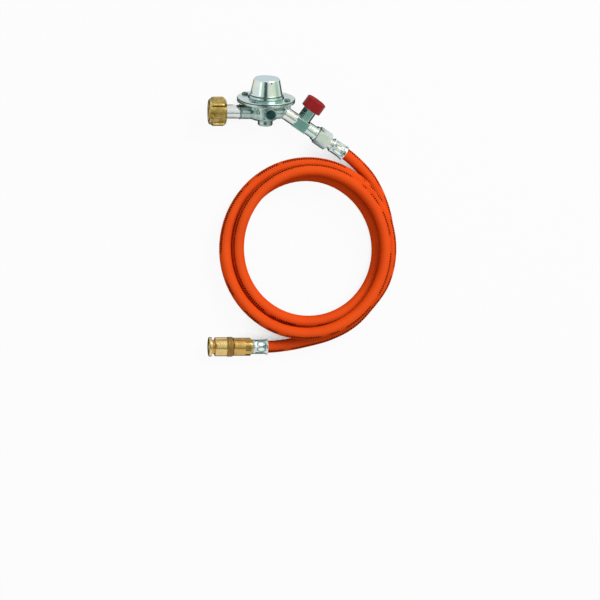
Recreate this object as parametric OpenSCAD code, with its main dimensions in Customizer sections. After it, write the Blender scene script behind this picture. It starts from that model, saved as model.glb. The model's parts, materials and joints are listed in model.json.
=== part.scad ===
// Low-pressure propane regulator with a hand nut for the gas bottle, a hose
// failure valve with a red reset button, a coiled hose and a quick coupler.
// It lies on a table: the rim of the flange, the coil and the coupler rest on it.
// The origin is the middle of the hand nut's mouth, and +X runs into the nut.

/* [Pose] */
// Angle between the dome's axis and the table
dome_lean = 15.5; // [12:0.5:20]
// Angle of the outlet below the inlet's line
outlet_drop = 34; // [30:1:40]

/* [Fits] */
// Clearance on the radius of what turns or slides
run_gap = 0.08; // [0.04:0.01:0.1]
// Gap between faces that move against each other
face_gap = 0.3; // [0.2:0.05:0.4]
// Clearance on the radius of what is pressed or screwed in
seat_gap = 0.03; // [0.02:0.01:0.05]

/* [Hand nut] */
// Length of the nut
nut_len = 19; // [18:0.5:24]
// Radius over the ribs
nut_r = 16.6; // [15.5:0.1:18]
// Radius of the nut's core between its ribs
nut_core_r = 14.2; // [13.8:0.1:14.6]
// Length over which the ribs rise from the mouth
nut_front_slope = 3; // [2:0.5:4]
// Number of ribs round the nut
nut_ribs = 7; // [6:1:9]
// Width of a rib
nut_rib_w = 3.6; // [3:0.1:4.2]
// Turn of the first rib
nut_turn = 46.6; // [0:0.2:51.4]
// Slope of the nut's back edge, along the axis
nut_back_slope = 3.4; // [2:0.2:4]
// Radius of the threaded bore
nut_thread_r = 10.35; // [9.8:0.05:10.9]
// Length of the threaded bore
nut_thread_len = 7.5; // [6.5:0.5:7.5]
// Depth of the thread relief behind the bore
nut_relief = 0.5; // [0.3:0.1:0.8]
// Thickness of the wall at the nut's back
nut_wall = 5; // [4:0.5:6]
// Thickness of the slip washer behind the stem's head
washer_t = 0.8; // [0.6:0.1:1]
// How far the nut slides back along the stem
nut_travel = 11.5; // [8:0.5:11.5]

/* [Inlet stem] */
// Radius of the stem
stem_r = 7.75; // [7:0.05:8]
// Radius of the stem's head inside the nut
head_r = 9.7; // [9.2:0.1:10]
// Thickness of the flat gasket on the head
gasket_t = 1.6; // [1.2:0.1:2]
// How deep the gasket sits in the head
gasket_seat = 1; // [0.6:0.1:1]
// Radius of the gas passage
gas_r = 2.6; // [2:0.1:3]
// Radius of the filter plug in the passage's mouth
filter_r = 4; // [3.4:0.1:4.4]
// Length of the filter plug
filter_len = 2.5; // [2:0.1:3]
// Where the stop ring sits on the stem
stop_at = 34.3; // [33:0.1:34.5]
// Thickness of the stop ring at the stem's foot
stop_ring_t = 0.7; // [0.5:0.1:1]
// Radius of the stop ring
stop_ring_r = 8.6; // [8.4:0.1:9]
// Depth of the stop ring's groove
stop_groove = 0.5; // [0.3:0.1:0.6]
// Radius of the threaded spigot in the body
spigot_r = 6.2; // [5.5:0.1:6.4]
// Length of the threaded spigot
spigot_len = 9; // [7:0.5:9.5]

/* [Regulator body] */
// Where the dome's axis crosses the inlet's line
reg_x = 63.5; // [62:0.5:68]
// Radius of the inlet neck
neck_r = 8.1; // [8:0.1:8.6]
// Radius of the hub
hub_r = 12.6; // [12:0.1:13.5]
// Depth of the hub below the inlet's line
hub_depth = 8.4; // [8:0.2:9]
// Radius of the stub under the hub
stub_r = 8.3; // [7.5:0.1:9]
// Depth of the stub's foot below the inlet's line
stub_depth = 15.4; // [14:0.1:17]
// Rounding of the stub's edge
stub_round = 1.6; // [1:0.1:2]
// Radius of the bowl where it meets the flange
bowl_r = 23.2; // [22.5:0.1:24]
// Height of the bowl's floor over the inlet's line
bowl_z = 8.5; // [8:0.1:9]
// Radius of the flange
flange_r = 32.3; // [31.5:0.1:34]
// Height of the flange's lower face over the inlet's line
flange_z = 11.5; // [11.4:0.1:13]
// Thickness of the body's flange
body_flange_t = 2.9; // [1.8:0.1:3.4]
// Radius of the chamber under the diaphragm
chamber_r = 18.6; // [18:0.1:18.8]
// Height of the chamber's floor over the inlet's line
chamber_z = 10.3; // [10.2:0.1:10.6]
// Radius of the well that holds the valve
well_r = 10.4; // [10.2:0.1:10.8]
// Depth of the well below the inlet's line
well_depth = 5.6; // [5:0.1:6]
// Radius of the front port's boss
port_r = 7; // [6.4:0.1:7.4]
// Front port's distance to the right of the dome's axis
port_x = 4; // [2:0.5:5]
// Distance of the port's face from the dome's axis
port_out = 14.6; // [14:0.2:16]
// Width of the port plug's square head
port_square = 7; // [6:0.1:7.4]
// How far the port plug's head stands out
port_head = 1.6; // [1:0.1:2.5]
// Radius of the port's thread
port_thread_r = 3.4; // [3:0.1:3.8]

/* [Cover and dome] */
// Thickness of the cover's flange
cover_flange_t = 1.3; // [1.1:0.1:1.8]
// Radius of the collar at its foot
collar_r = 20; // [19.8:0.1:21]
// Radius of the collar at its top
collar_top_r = 19.2; // [18.6:0.1:19.6]
// Height of the collar
collar_h = 3.4; // [3:0.1:4]
// Wall of the cover's top
cover_wall = 1.4; // [1.2:0.1:1.6]
// Outer radius of the spring tube
tube_r = 12.6; // [12.2:0.1:13]
// Thread radius inside the spring tube
tube_bore_r = 10.8; // [10.4:0.1:11]
// Height of the spring tube over the collar
tube_h = 14; // [12:0.5:15]
// Radius of the dome at its foot
dome_r = 18.6; // [17.8:0.1:18.8]
// Radius of the dome at its top
dome_top_r = 14.8; // [14.6:0.1:16]
// Height of the dome
dome_h = 18.6; // [18:0.2:22]
// Wall of the dome
dome_wall = 1.2; // [0.9:0.1:1.4]
// Radius of the vent hole under the dome's edge
vent_r = 0.9; // [0.6:0.1:1.2]
// Angle of the vent hole from the front
vent_turn = 14; // [0:1:40]
// Length of the adjusting plug
plug_h = 4; // [3:0.5:5]
// How deep the adjusting plug sits below the tube's mouth
plug_sink = 1; // [0.5:0.5:2]
// Width across the flats of the plug's socket
plug_socket = 8; // [6:0.5:10]

/* [Cover screws] */
// Number of screws
screws = 4; // [3:1:4]
// Radius of the screw circle
screw_circle_r = 26.4; // [26.2:0.1:27]
// Turn of the first screw from the outlet's side towards the front
screw_turn = 35; // [30:1:38]
// Radius of a screw's shank
screw_r = 2; // [1.5:0.1:2.2]
// Radius of a screw's head
screw_head_r = 3.5; // [3:0.1:4]
// Height of a screw's head
screw_head_h = 2.5; // [2:0.1:3]
// Radius of the boss that takes the screw
boss_r = 4.2; // [3.8:0.1:4.6]
// Length of that boss under the flange
boss_h = 4; // [3.6:0.2:6]
// Width of the slot in a screw's head
screw_slot = 0.9; // [0.7:0.1:1.1]

/* [Diaphragm and valve] */
// Thickness of the diaphragm
diaphragm_t = 0.6; // [0.5:0.1:0.8]
// Radius of the diaphragm's flat middle
diaphragm_flat_r = 12.6; // [12.2:0.1:13]
// Radius of the diaphragm's rolled fold
fold_r = 1.5; // [1.2:0.1:1.6]
// Radius of the spring plate
plate_r = 12; // [11:0.1:12.2]
// Thickness of the spring plate
plate_t = 1; // [0.8:0.1:1.2]
// Radius of the diaphragm's stem
pin_r = 2.4; // [2:0.1:2.8]
// Diaphragm's travel upwards, as demand falls
lift_up = 0.8; // [0.6:0.1:0.8]
// Diaphragm's travel downwards, as demand rises
lift_down = 1.4; // [1:0.1:1.5]
// Lever's arm to the diaphragm's stem
lever_long = 7.5; // [7.2:0.1:7.8]
// Height of the lever's pivot over the inlet's line
pivot_z = 8.2; // [8:0.1:8.4]
// Width of the lever
lever_w = 2.4; // [2:0.1:2.6]
// Radius of the lever's pivot pin
pivot_r = 1; // [0.8:0.05:1.1]
// Radius of the brass nozzle
nozzle_r = 5; // [4.6:0.1:5.4]
// Radius of the nozzle's orifice
orifice_r = 1.1; // [0.8:0.1:1.4]
// Radius of the valve slide
slide_r = 3; // [2.8:0.1:3.2]
// Gap between the nozzle and the valve disc at rest
valve_open = 1.05; // [1:0.05:1.2]
// Radius of the rubber valve disc
disc_r = 2.5; // [2.3:0.1:2.6]
// Thickness of the rubber valve disc
disc_t = 1.4; // [1:0.1:1.6]

/* [Outlet and hose failure valve] */
// Distance from the dome's axis to the outlet's bend
bend_x = 20; // [19.5:0.1:22]
// Radius of the outlet boss and its bend
bend_r = 7.8; // [7.6:0.1:8.2]
// Where the outlet tube leaves the bend
tube_from = 1.4; // [1:0.2:3]
// Radius of the outlet tube
outlet_r = 7.3; // [7:0.1:7.5]
// Where the valve block starts along the outlet
block_from = 15.6; // [15:0.1:17]
// Length of the valve block behind the bonnet
block_back = 0.6; // [0.2:0.2:2]
// Depth of the block, front to back
block_w = 14; // [13.4:0.2:15]
// Height of the block's shoulder over the outlet's line
block_up = 5.6; // [5.2:0.1:6.4]
// Radius of the round part behind the block
barrel_r = 7.2; // [6.8:0.1:7.4]
// Where the round part behind the block ends along the outlet
barrel_to = 42.5; // [41:0.5:44]
// Radius of the collar before the union nut
stop_r = 8.5; // [8:0.1:9]
// Length of the collar before the union nut
stop_len = 2.6; // [2:0.1:3.5]
// Radius of the outlet's thread
outlet_thread_r = 6.5; // [6.3:0.1:6.6]
// Length of the outlet's thread
outlet_thread_len = 9; // [7:0.5:9.5]
// Width across the flats of the bonnet
bonnet_af = 14; // [12:0.5:15]
// Turn of the bonnet's corners from the outlet's line
bonnet_turn = 1; // [0:1:30]
// Height of the bonnet's top over the outlet's line
bonnet_top = 19.6; // [19:0.2:21]
// Height of the round neck on the bonnet
neck_up = 3.4; // [2:0.2:3.6]
// Radius of the bonnet's spigot
bonnet_spigot_r = 4.4; // [4:0.1:5]
// Radius of the button's pin
button_pin_r = 1.5; // [1.2:0.1:1.8]
// Radius of the red button
button_r = 11.6; // [11:0.1:12]
// Height of the red button
button_h = 12.9; // [12:0.1:14]
// Wall of the red button
button_wall = 1.8; // [1.4:0.1:2.2]
// Travel of the red button
button_travel = 3; // [1.5:0.5:3]
// Radius of the flow poppet
flow_r = 3.6; // [3.2:0.1:3.7]
// Travel of the flow poppet
flow_travel = 1.5; // [1:0.1:1.8]

/* [Union nut and hose nipple] */
// Width across the flats of the union nut
union_af = 18; // [17:0.5:19]
// Length of the union nut
union_len = 16.8; // [16:0.2:18]
// Thickness of the union nut's back wall
union_wall = 4.6; // [4:0.2:5]
// Turn of the union nut's hexagon
union_turn = 50; // [0:1:59]
// Radius of the nipple's neck
nipple_r = 4.6; // [4.2:0.1:5]
// Radius of the nipple's sealing head
nipple_head_r = 6; // [5.6:0.1:6.2]
// Radius of the nipple's ring behind the nut
nipple_ring_r = 6.6; // [6:0.1:7]
// Length of the nipple's ring
nipple_ring_len = 2; // [1.5:0.1:2.5]

/* [Ferrules] */
// Radius of a crimped ferrule
ferrule_r = 8; // [7.6:0.1:8.2]
// Length of a crimped ferrule
ferrule_len = 18; // [17.5:0.5:22]
// Width across the crimped flats
crimp_af = 14.8; // [14.6:0.1:15.4]
// Number of crimped flats
crimps = 8; // [6:1:8]
// Length of the crimped flats
crimp_len = 11; // [9:0.5:12]
// Radius of the flare where the hose enters
flare_r = 8.7; // [8.4:0.1:9.2]
// Length of that flare
flare_len = 3; // [2:0.2:4]
// Length of the ferrule on the coupler
short_ferrule_len = 16.4; // [15:0.2:20]
// Thickness of the ferrule's end wall
ferrule_end = 1.6; // [1.2:0.1:2]

/* [Hose] */
// Outer diameter of the hose
hose_d = 13.3; // [13:0.1:13.4]
// Bore of the hose
hose_bore = 6.3; // [6:0.1:6.6]
// Radius that the coil settles to inside
coil_in_r = 79.6; // [79:0.2:81]
// Extra radius at which the hose enters the coil
coil_entry = 18.8; // [18.6:0.1:19.2]
// Turns over which that extra radius dies away
coil_settle = 0.29; // [0.28:0.01:0.3]
// First step of the radius on the way out
coil_step = 7.2; // [7:0.1:7.4]
// Second step of the radius on the way out
coil_step_out = 6.9; // [6.8:0.1:7.2]
// Height that a crossing strand takes over the second layer
coil_hump = 12.4; // [12.2:0.1:12.8]
// Width of the coil as a share of the round one
coil_wide = 0.985; // [0.98:0.005:0.99]
// Height of the coil in the plan as a share of the round one
coil_tall = 1.015; // [1.01:0.005:1.02]
// Gap that the piled loops keep
loop_gap = 0.5; // [0.45:0.05:0.6]

/* [Coupler] */
// Radius of the lip around the mouth
lip_r = 10.8; // [10:0.1:10.9]
// Length of the lip
lip_len = 3.3; // [3:0.1:4]
// Radius of the mouth at its face
mouth_r = 8.6; // [8.2:0.1:9]
// Radius of the plug socket
socket_r = 6; // [5.6:0.05:6.2]
// Length of the plug socket's wall
socket_len = 7; // [6:0.5:7.5]
// Radius of the barrel under the sleeve
inner_r = 7.6; // [7.4:0.1:7.8]
// Gap between the lip and the sleeve
lip_gap = 3.5; // [3.3:0.1:4]
// Length of the sleeve, with its grip ring
sleeve_len = 20.4; // [19:0.2:22]
// Radius of the sleeve
sleeve_r = 10.5; // [10:0.1:10.6]
// Length of the grip ring
grip_len = 6.9; // [6:0.1:9]
// Radius of the grip ring
grip_r = 11; // [10.8:0.1:11.8]
// Radius inside the sleeve's spring room
sleeve_room_r = 9.1; // [9:0.1:9.3]
// Length of the sleeve's front land
land_len = 5; // [4.6:0.1:5.4]
// Travel of the sleeve towards the lip
sleeve_travel = 3; // [2:0.5:3]
// Radius of the coupler's body
coupler_r = 10; // [9.4:0.1:10.4]
// Length of the coupler's body
coupler_len = 19.2; // [17:0.2:21]
// Depth of the wrench flats
wrench_flat = 0.6; // [0.4:0.1:0.8]
// Length of the wrench flats
wrench_len = 6.4; // [5:0.2:7]
// Radius of the coupler's step before the ferrule
step_r = 8.2; // [7.8:0.1:8.6]
// Length of that step
step_len = 2.2; // [1.5:0.1:3]
// Number of locking balls
balls = 6; // [4:1:8]
// Radius of a locking ball
ball_r = 1.5; // [1.2:0.1:1.6]
// Radius of the coupler's valve poppet
poppet_r = 3.8; // [3.4:0.1:4]
// Travel of the coupler's valve poppet
poppet_travel = 2.5; // [1.5:0.5:3]

/* [Hidden] */
$fn = 64;
eps = 0.01;

// Places along the inlet
wall_in = nut_len - nut_wall;
washer_to = wall_in - face_gap;
washer_from = washer_to - washer_t;
head_to = washer_from - face_gap;
head_from = head_to - 4;
neck_from = stop_at + stop_ring_t + face_gap;
spigot_to = neck_from + spigot_len;
well_left = reg_x - well_r;
seat_x = reg_x - 5.5;
nozzle_from = spigot_to + 1.2;
guide_r = 3.9;
guide_to = reg_x + 2.5;
slide_from = seat_x + valve_open + 0.4;
slide_to = reg_x + 9.9;

// Heights over the inlet's line, along the dome's axis
flange_top = flange_z + body_flange_t;
cover_from = flange_top + diaphragm_t;
cover_face = cover_from + cover_flange_t;
collar_to = cover_face + collar_h;
cavity_to = collar_to - cover_wall;
cavity_r = collar_top_r - cover_wall;
tube_to = collar_to + tube_h;
plug_to = tube_to - plug_sink;
plug_from = plug_to - plug_h;
plate_to = cover_from + plate_t;
dome_to = collar_to + dome_h;
dome_in_r = dome_top_r - dome_wall;
pivot_x = lever_long;
arm_t = 1.6;
tip_z = 1.5;
arm_down = pivot_z - tip_z;

// Places along the outlet
bonnet_corner = bonnet_af / 2 / cos(30);
button_at = block_from + bonnet_corner;
block_to = button_at + bonnet_corner + block_back;
block_len = block_to - block_from;
stop_to = barrel_to + stop_len;
thread_to = stop_to + outlet_thread_len;
union_from = stop_to + face_gap;
union_to = union_from + union_len;
union_in = union_to - union_wall;
head_end = union_in - face_gap;
head_start = thread_to + 0.3;
ring_from = union_to + face_gap;
ferrule_from = ring_from + 2 * nipple_ring_len;
ferrule_to = ferrule_from + ferrule_len;
gas_room_r = 4;
throat_r = 2.6;
seat_at = barrel_to - 4;
poppet_at = block_to - 2.6;
button_from = bonnet_top - 0.5;
button_to = button_from + button_h;
roof_in = button_to - 2.5;
neck_top = bonnet_top + neck_up;

// Places along the coupler
nose_from = 1.6;
socket_to = nose_from + socket_len;
ring_to = socket_to + 2;
ball_at = ring_to + 3.2;
room_floor = ball_at + 3.4;
sleeve_from = lip_len + lip_gap;
sleeve_to = sleeve_from + sleeve_len;
land_to = sleeve_from + land_len;
rear_land = 1.5;
body_from = sleeve_to + face_gap;
body_to = body_from + coupler_len;
step_to = body_to + step_len;
cup_from = step_to + 0.4;
cup_to = cup_from + short_ferrule_len;
tail_r = hose_bore / 2 - 0.02;
way_r = 2.2;

// The floor, and the coupler's place on it
floor_z = flange_z * sin(dome_lean) - flange_r * cos(dome_lean);
coupler_x = 2;
coupler_y = -260.6;
coupler_z = floor_z + grip_r;

// Directions
module reg() {
    rotate([-(90 - dome_lean), 0, 0])
        children();
}

module dome() {
    reg()
        translate([reg_x, 0, 0])
            children();
}

module along_x() {
    rotate([0, 90, 0])
        children();
}

module outlet() {
    reg()
        translate([reg_x + bend_x, 0, 0])
            rotate([0, 90 + outlet_drop, 0])
                children();
}

module button() {
    outlet()
        translate([0, 0, button_at])
            rotate([0, -90, 0])
                children();
}

module coupler() {
    translate([coupler_x, coupler_y, coupler_z])
        along_x()
            children();
}

module tube(from, to, outer, inner) {
    translate([0, 0, from])
        difference() {
            cylinder(h = to - from, r = outer);
            translate([0, 0, -1])
                cylinder(h = to - from + 2, r = inner);
        }
}

module rod(from, to, radius) {
    translate([0, 0, from])
        cylinder(h = to - from, r = radius);
}

module hexagon(from, to, af) {
    translate([0, 0, from])
        cylinder(h = to - from, r = af / 2 / cos(30), $fn = 6);
}

// Swept tubes
function unit(v) = v / norm(v);
function ahead(p, i) = unit(p[min(i + 1, len(p) - 1)] - p[max(i - 1, 0)]);
function ring(c, t, r, n) =
    let(a = unit(cross(t, [0, 0, 1])), b = cross(a, t))
    [for (k = [0 : n - 1]) c + r * (cos(360 * k / n - 90) * a + sin(360 * k / n - 90) * b)];
function rings(p, t, r, n) = [for (i = [0 : len(p) - 1]) each ring(p[i], t[i], r, n)];
function skin(m, n) = concat(
    [[for (k = [0 : n - 1]) n - 1 - k]],
    [for (i = [0 : m - 2]) for (k = [0 : n - 1]) each
        let(a = i * n + k, b = i * n + (k + 1) % n)
        [[a, b, b + n], [a, b + n, a + n]]],
    [[for (k = [0 : n - 1]) (m - 1) * n + k]]
);
function aheads(p) = [for (i = [0 : len(p) - 1]) ahead(p, i)];

module swept(p, t, r, n) {
    polyhedron(points = rings(p, t, r, n), faces = skin(len(p), n), convexity = 10);
}

// Springs, with closed ends that lie flat
function rise(u, turns, wire, h) =
    u < 1 ? u * wire * 1.15 :
    u > turns - 1 ? h - wire - (turns - u) * wire * 1.15 :
    wire * 1.15 + (u - 1) / (turns - 2) * (h - wire - 2.3 * wire);
function helix(r, from, h, turns, wire) =
    [for (i = [0 : 8 * turns])
        [r * cos(45 * i), r * sin(45 * i), from + wire / 2 + rise(i / 8, turns, wire, h)]];

module spring(r, from, to, turns, wire) {
    p = helix(r, from, to - from, turns, wire);
    swept(p, aheads(p), wire / 2, 6);
}

// The coil, by turns from where the hose comes to it
coil_x = 112.3;
coil_y = -151.8;
coil_from = 0.1;
coil_to = 3.2;
coil_n = 24;
hose_r = hose_d / 2;
lift = hose_d + loop_gap;
function ease(u) =
    let(v = min(1, max(0, u)))
    v * v * v * (10 - 15 * v + 6 * v * v);
function step(t, a, b) = ease((t - a) / (b - a));
function coil_r(t) =
    coil_in_r + coil_entry * exp(-(t - 0.05) / coil_settle)
    + coil_step * step(t, 1.55, 1.98)
    + coil_step_out * step(t, 2.13, 2.5)
    + 0.9 * exp(-pow((t - 2.6) / 0.13, 2));
function coil_h(t) =
    hose_r + 0.05 + lift * step(t, 0.93, 1.38)
    + coil_hump * (step(t, 1.55, 1.84) - step(t, 2.27, 2.62));
function coil_at(t) = [
    coil_x + coil_wide * coil_r(t) * cos(50 - 360 * t),
    coil_y + coil_tall * coil_r(t) * sin(50 - 360 * t),
    floor_z + coil_h(t)
];
function coil_ahead(t) = unit(coil_at(t + 0.004) - coil_at(t - 0.004));
coil_steps = ceil((coil_to - coil_from) * coil_n);
coil_turns = [for (i = [0 : coil_steps]) coil_from + (coil_to - coil_from) * i / coil_steps];
coil_points = [for (t = coil_turns) coil_at(t)];
coil_aheads = [for (t = coil_turns) coil_ahead(t)];

// Least gap between the coil's own strands
gaps = [for (i = [0 : coil_steps]) for (j = [i + 12 : 1 : coil_steps])
    norm(coil_points[i] - coil_points[j]) - hose_d];
echo(least_coil_gap = min(gaps));

// The free stretches, between directions that their neighbours give
function hermite(a, b, ta, tb, u) =
    (2 * u * u * u - 3 * u * u + 1) * a + (u * u * u - 2 * u * u + u) * ta
    + (3 * u * u - 2 * u * u * u) * b + (u * u * u - u * u) * tb;
function way(p, t, n) = concat(
    [for (i = [0 : len(p) - 2]) for (k = [0 : n - 1]) hermite(p[i], p[i + 1], t[i], t[i + 1], k / n)],
    [p[len(p) - 1]]
);
function slopes(p, first, last) = [for (i = [0 : len(p) - 1])
    i == 0 ? first * norm(p[1] - p[0]) :
    i == len(p) - 1 ? last * norm(p[i] - p[i - 1]) :
    (p[i + 1] - p[i - 1]) / 2];
function framed(p, first, last) = [for (i = [0 : len(p) - 1])
    i == 0 ? first : i == len(p) - 1 ? last : ahead(p, i)];
outlet_ahead = [
    cos(outlet_drop),
    -sin(outlet_drop) * cos(dome_lean),
    -sin(outlet_drop) * sin(dome_lean)
];
hose_start = [reg_x + bend_x, 0, 0] + ferrule_to * outlet_ahead;
hose_finish = [coupler_x + cup_to, coupler_y, coupler_z];
lead_knots = [
    hose_start,
    [177, -66, floor_z + 10],
    [190, -85, floor_z + 7.5],
    [199, -107, floor_z + 6.9],
    coil_at(coil_from)
];
lead_points = way(lead_knots, slopes(lead_knots, outlet_ahead, coil_ahead(coil_from)), 2);
lead_aheads = framed(lead_points, outlet_ahead, coil_ahead(coil_from));
tail_knots = [
    coil_at(coil_to),
    [175, -220, floor_z + 20],
    [157, -236.5, floor_z + 18],
    [135, -247.5, floor_z + 16],
    [112, -254, floor_z + 13.5],
    [90, -258.5, floor_z + 11.5],
    hose_finish
];
tail_points = way(tail_knots, slopes(tail_knots, coil_ahead(coil_to), [-1, 0, 0]), 2);
tail_aheads = framed(tail_points, coil_ahead(coil_to), [-1, 0, 0]);
lead_gaps = [for (a = lead_points) for (i = [8 : coil_steps]) norm(a - coil_points[i]) - hose_d];
tail_gaps = [for (a = tail_points) for (i = [0 : coil_steps - 8]) norm(a - coil_points[i]) - hose_d];
echo(least_lead_gap = min(lead_gaps), least_tail_gap = min(tail_gaps));

// Hand nut and inlet
module nut_outline() {
    circle(r = nut_core_r, $fn = 96);
    for (k = [0 : nut_ribs - 1])
        rotate(nut_turn + k * 360 / nut_ribs)
            translate([nut_core_r - 2, -nut_rib_w / 2])
                square([nut_r - nut_core_r + 2, nut_rib_w]);
}

module hand_nut() {
    color("goldenrod")
        along_x()
            difference() {
                intersection() {
                    linear_extrude(height = nut_len)
                        nut_outline();
                    rotate_extrude($fn = 96)
                        polygon([
                            [0, 0], [nut_core_r - 0.9, 0], [nut_core_r, 0.9],
                            [nut_r - 0.6, nut_front_slope], [nut_r, nut_front_slope + 0.8],
                            [nut_r, nut_len - nut_back_slope],
                            [nut_r - 3.2, nut_len], [0, nut_len]
                        ]);
                }
                rod(-1, wall_in, nut_thread_r);
                rod(nut_thread_len, wall_in, nut_thread_r + nut_relief);
                rod(wall_in - 1, nut_len + 1, stem_r + run_gap);
            }
}

module nut_washer() {
    color("gainsboro")
        along_x()
            tube(washer_from, washer_to, head_r, stem_r + run_gap);
}

module inlet_stem() {
    color("silver")
        along_x()
            difference() {
                union() {
                    rod(head_from, head_to, head_r);
                    rod(head_to, neck_from, stem_r);
                    rod(neck_from, spigot_to, spigot_r);
                }
                rod(head_from - 1, spigot_to + 1, gas_r);
                rod(head_from - 1, head_from + filter_len, filter_r + seat_gap);
                tube(head_from - 1, head_from + gasket_seat, head_r - 1.2, filter_r + 1);
                tube(stop_at, stop_at + stop_ring_t, stem_r + 1, stem_r - stop_groove);
            }
}

module inlet_gasket() {
    color("dimgray")
        along_x()
            tube(head_from + gasket_seat - gasket_t, head_from + gasket_seat,
                head_r - 1.23, filter_r + 1.03);
}

module inlet_filter() {
    color("tan")
        along_x()
            difference() {
                rod(head_from, head_from + filter_len, filter_r);
                for (k = [0 : 5])
                    rotate(k * 60)
                        translate([2, 0, 0])
                            rod(head_from - 1, head_from + filter_len + 1, 0.5, $fn = 16);
            }
}

module stop_ring() {
    color("gray")
        along_x()
            difference() {
                tube(stop_at, stop_at + stop_ring_t, stop_ring_r, stem_r - stop_groove + 0.02);
                translate([0, -1.5, stop_at - 1])
                    cube([stop_ring_r + 1, 3, stop_ring_t + 2]);
            }
}

// Regulator body
module bosses() {
    for (k = [0 : screws - 1])
        rotate(-screw_turn - k * 360 / screws)
            translate([screw_circle_r, 0, 0])
                children();
}

module port() {
    translate([port_x, 0, 0])
        rotate([90, 0, 0])
            children();
}

module body_casting() {
    color("darkslategray")
        difference() {
            union() {
                along_x()
                    rotate_extrude()
                        polygon([
                            [0, neck_from], [neck_r - 0.6, neck_from], [neck_r, neck_from + 0.6],
                            [neck_r, neck_from + 11], [neck_r + 0.8, neck_from + 14],
                            [neck_r + 2, neck_from + 17], [neck_r + 2, reg_x], [0, reg_x]
                        ]);
                dome()
                    rotate_extrude($fn = 96)
                        polygon([
                            [0, -stub_depth], [stub_r - stub_round, -stub_depth],
                            [stub_r - 0.5 * stub_round, -stub_depth + 0.13 * stub_round],
                            [stub_r - 0.13 * stub_round, -stub_depth + 0.5 * stub_round],
                            [stub_r, -stub_depth + stub_round], [stub_r, -hub_depth],
                            [hub_r - 1.2, -hub_depth], [hub_r, -hub_depth + 1.2],
                            [hub_r, bowl_z - 2], [hub_r + 0.6, bowl_z - 0.6], [hub_r + 2, bowl_z],
                            [bowl_r - 2.4, bowl_z], [bowl_r - 0.7, bowl_z + 0.7], [bowl_r, bowl_z + 2.4],
                            [bowl_r, flange_z], [flange_r - 0.3, flange_z], [flange_r, flange_z + 0.3],
                            [flange_r, flange_top], [0, flange_top]
                        ]);
                dome()
                    bosses()
                        rod(flange_z - boss_h, flange_z + 0.5, boss_r);
                dome()
                    port()
                        rod(0, port_out, port_r);
                difference() {
                    union() {
                        dome()
                            along_x()
                                rod(0, bend_x, bend_r);
                        outlet()
                            sphere(r = bend_r + 0.1);
                    }
                    outlet()
                        rod(tube_from, bend_r + 5, bend_r + 3);
                }
            }
            along_x() {
                rod(neck_from - 1, spigot_to + 0.2, spigot_r + seat_gap);
                rod(neck_from, reg_x, gas_r);
                rod(nozzle_from, reg_x, nozzle_r + seat_gap);
                rod(reg_x, reg_x + bend_x, gas_room_r);
            }
            outlet() {
                sphere(r = gas_room_r);
                rod(0, tube_from + 1, gas_room_r);
                rod(tube_from - 4, tube_from + 1, gas_room_r + 1.2 + seat_gap);
            }
            dome() {
                rod(-well_depth, flange_top + 1, well_r);
                rod(chamber_z, flange_top + 1, chamber_r);
                bosses()
                    rod(flange_z - boss_h + 1.5, flange_top + 1, screw_r + seat_gap);
                port()
                    rod(well_r - 3, port_out + 1, port_thread_r + seat_gap);
                translate([pivot_x - pivot_r - 0.1, -9, pivot_z])
                    cube([2 * (pivot_r + 0.1), 18, 6]);
                translate([pivot_x, 9, pivot_z])
                    rotate([90, 0, 0])
                        cylinder(h = 18, r = pivot_r + seat_gap);
            }
        }
}

module port_plug() {
    color("darkslategray")
        dome()
            port() {
                rod(well_r - 1.4, port_out + 0.1, port_thread_r);
                translate([0, 0, port_out + 0.1 + port_head / 2])
                    rotate(45)
                        cube([port_square, port_square, port_head], center = true);
            }
}

module nozzle() {
    color("goldenrod")
        along_x()
            difference() {
                union() {
                    rod(nozzle_from, well_left + 1.2, nozzle_r);
                    rod(well_left + 1.2, guide_to, guide_r);
                }
                rod(nozzle_from - 1, seat_x - 2.5, gas_r);
                rod(seat_x - 3, seat_x + 1, orifice_r);
                rod(seat_x, guide_to + 1, slide_r + run_gap);
                translate([-guide_r - 1, -1.6, seat_x])
                    cube([2 * guide_r + 2, 3.2, 3]);
            }
}

module valve_slide() {
    color("peru")
        reg()
            along_x()
                difference() {
                    rod(slide_from, slide_to, slide_r);
                    rod(slide_from - 1, slide_from + 1, disc_r + seat_gap);
                    translate([-slide_r - 1, -lever_w / 2 - 0.3, reg_x + pivot_x - 1.4])
                        cube([slide_r + 1 - tip_z + arm_t / 2 + 0.5, lever_w + 0.6, 2.8]);
                }
}

module valve_disc() {
    color("dimgray")
        along_x()
            rod(slide_from + 1 - disc_t, slide_from + 1, disc_r);
}

module lever() {
    color("silver")
        dome()
            translate([pivot_x, lever_w / 2, pivot_z])
                rotate([90, 0, 0])
                    difference() {
                        union() {
                            cylinder(h = lever_w, r = pivot_r + 1.2, $fn = 32);
                            translate([-lever_long, -arm_t / 2, 0])
                                cube([lever_long, arm_t, lever_w]);
                            translate([-lever_long, 0, 0])
                                cylinder(h = lever_w, r = arm_t / 2, $fn = 24);
                            translate([-arm_t / 2, -arm_down, 0])
                                cube([arm_t, arm_down, lever_w]);
                            translate([0, -arm_down, 0])
                                cylinder(h = lever_w, r = arm_t / 2, $fn = 24);
                        }
                        translate([0, 0, -1])
                            cylinder(h = lever_w + 2, r = pivot_r + 0.05, $fn = 32);
                    }
}

module lever_pin() {
    color("gainsboro")
        dome()
            translate([pivot_x, 8.6, pivot_z])
                rotate([90, 0, 0])
                    cylinder(h = 17.2, r = pivot_r, $fn = 32);
}

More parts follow.
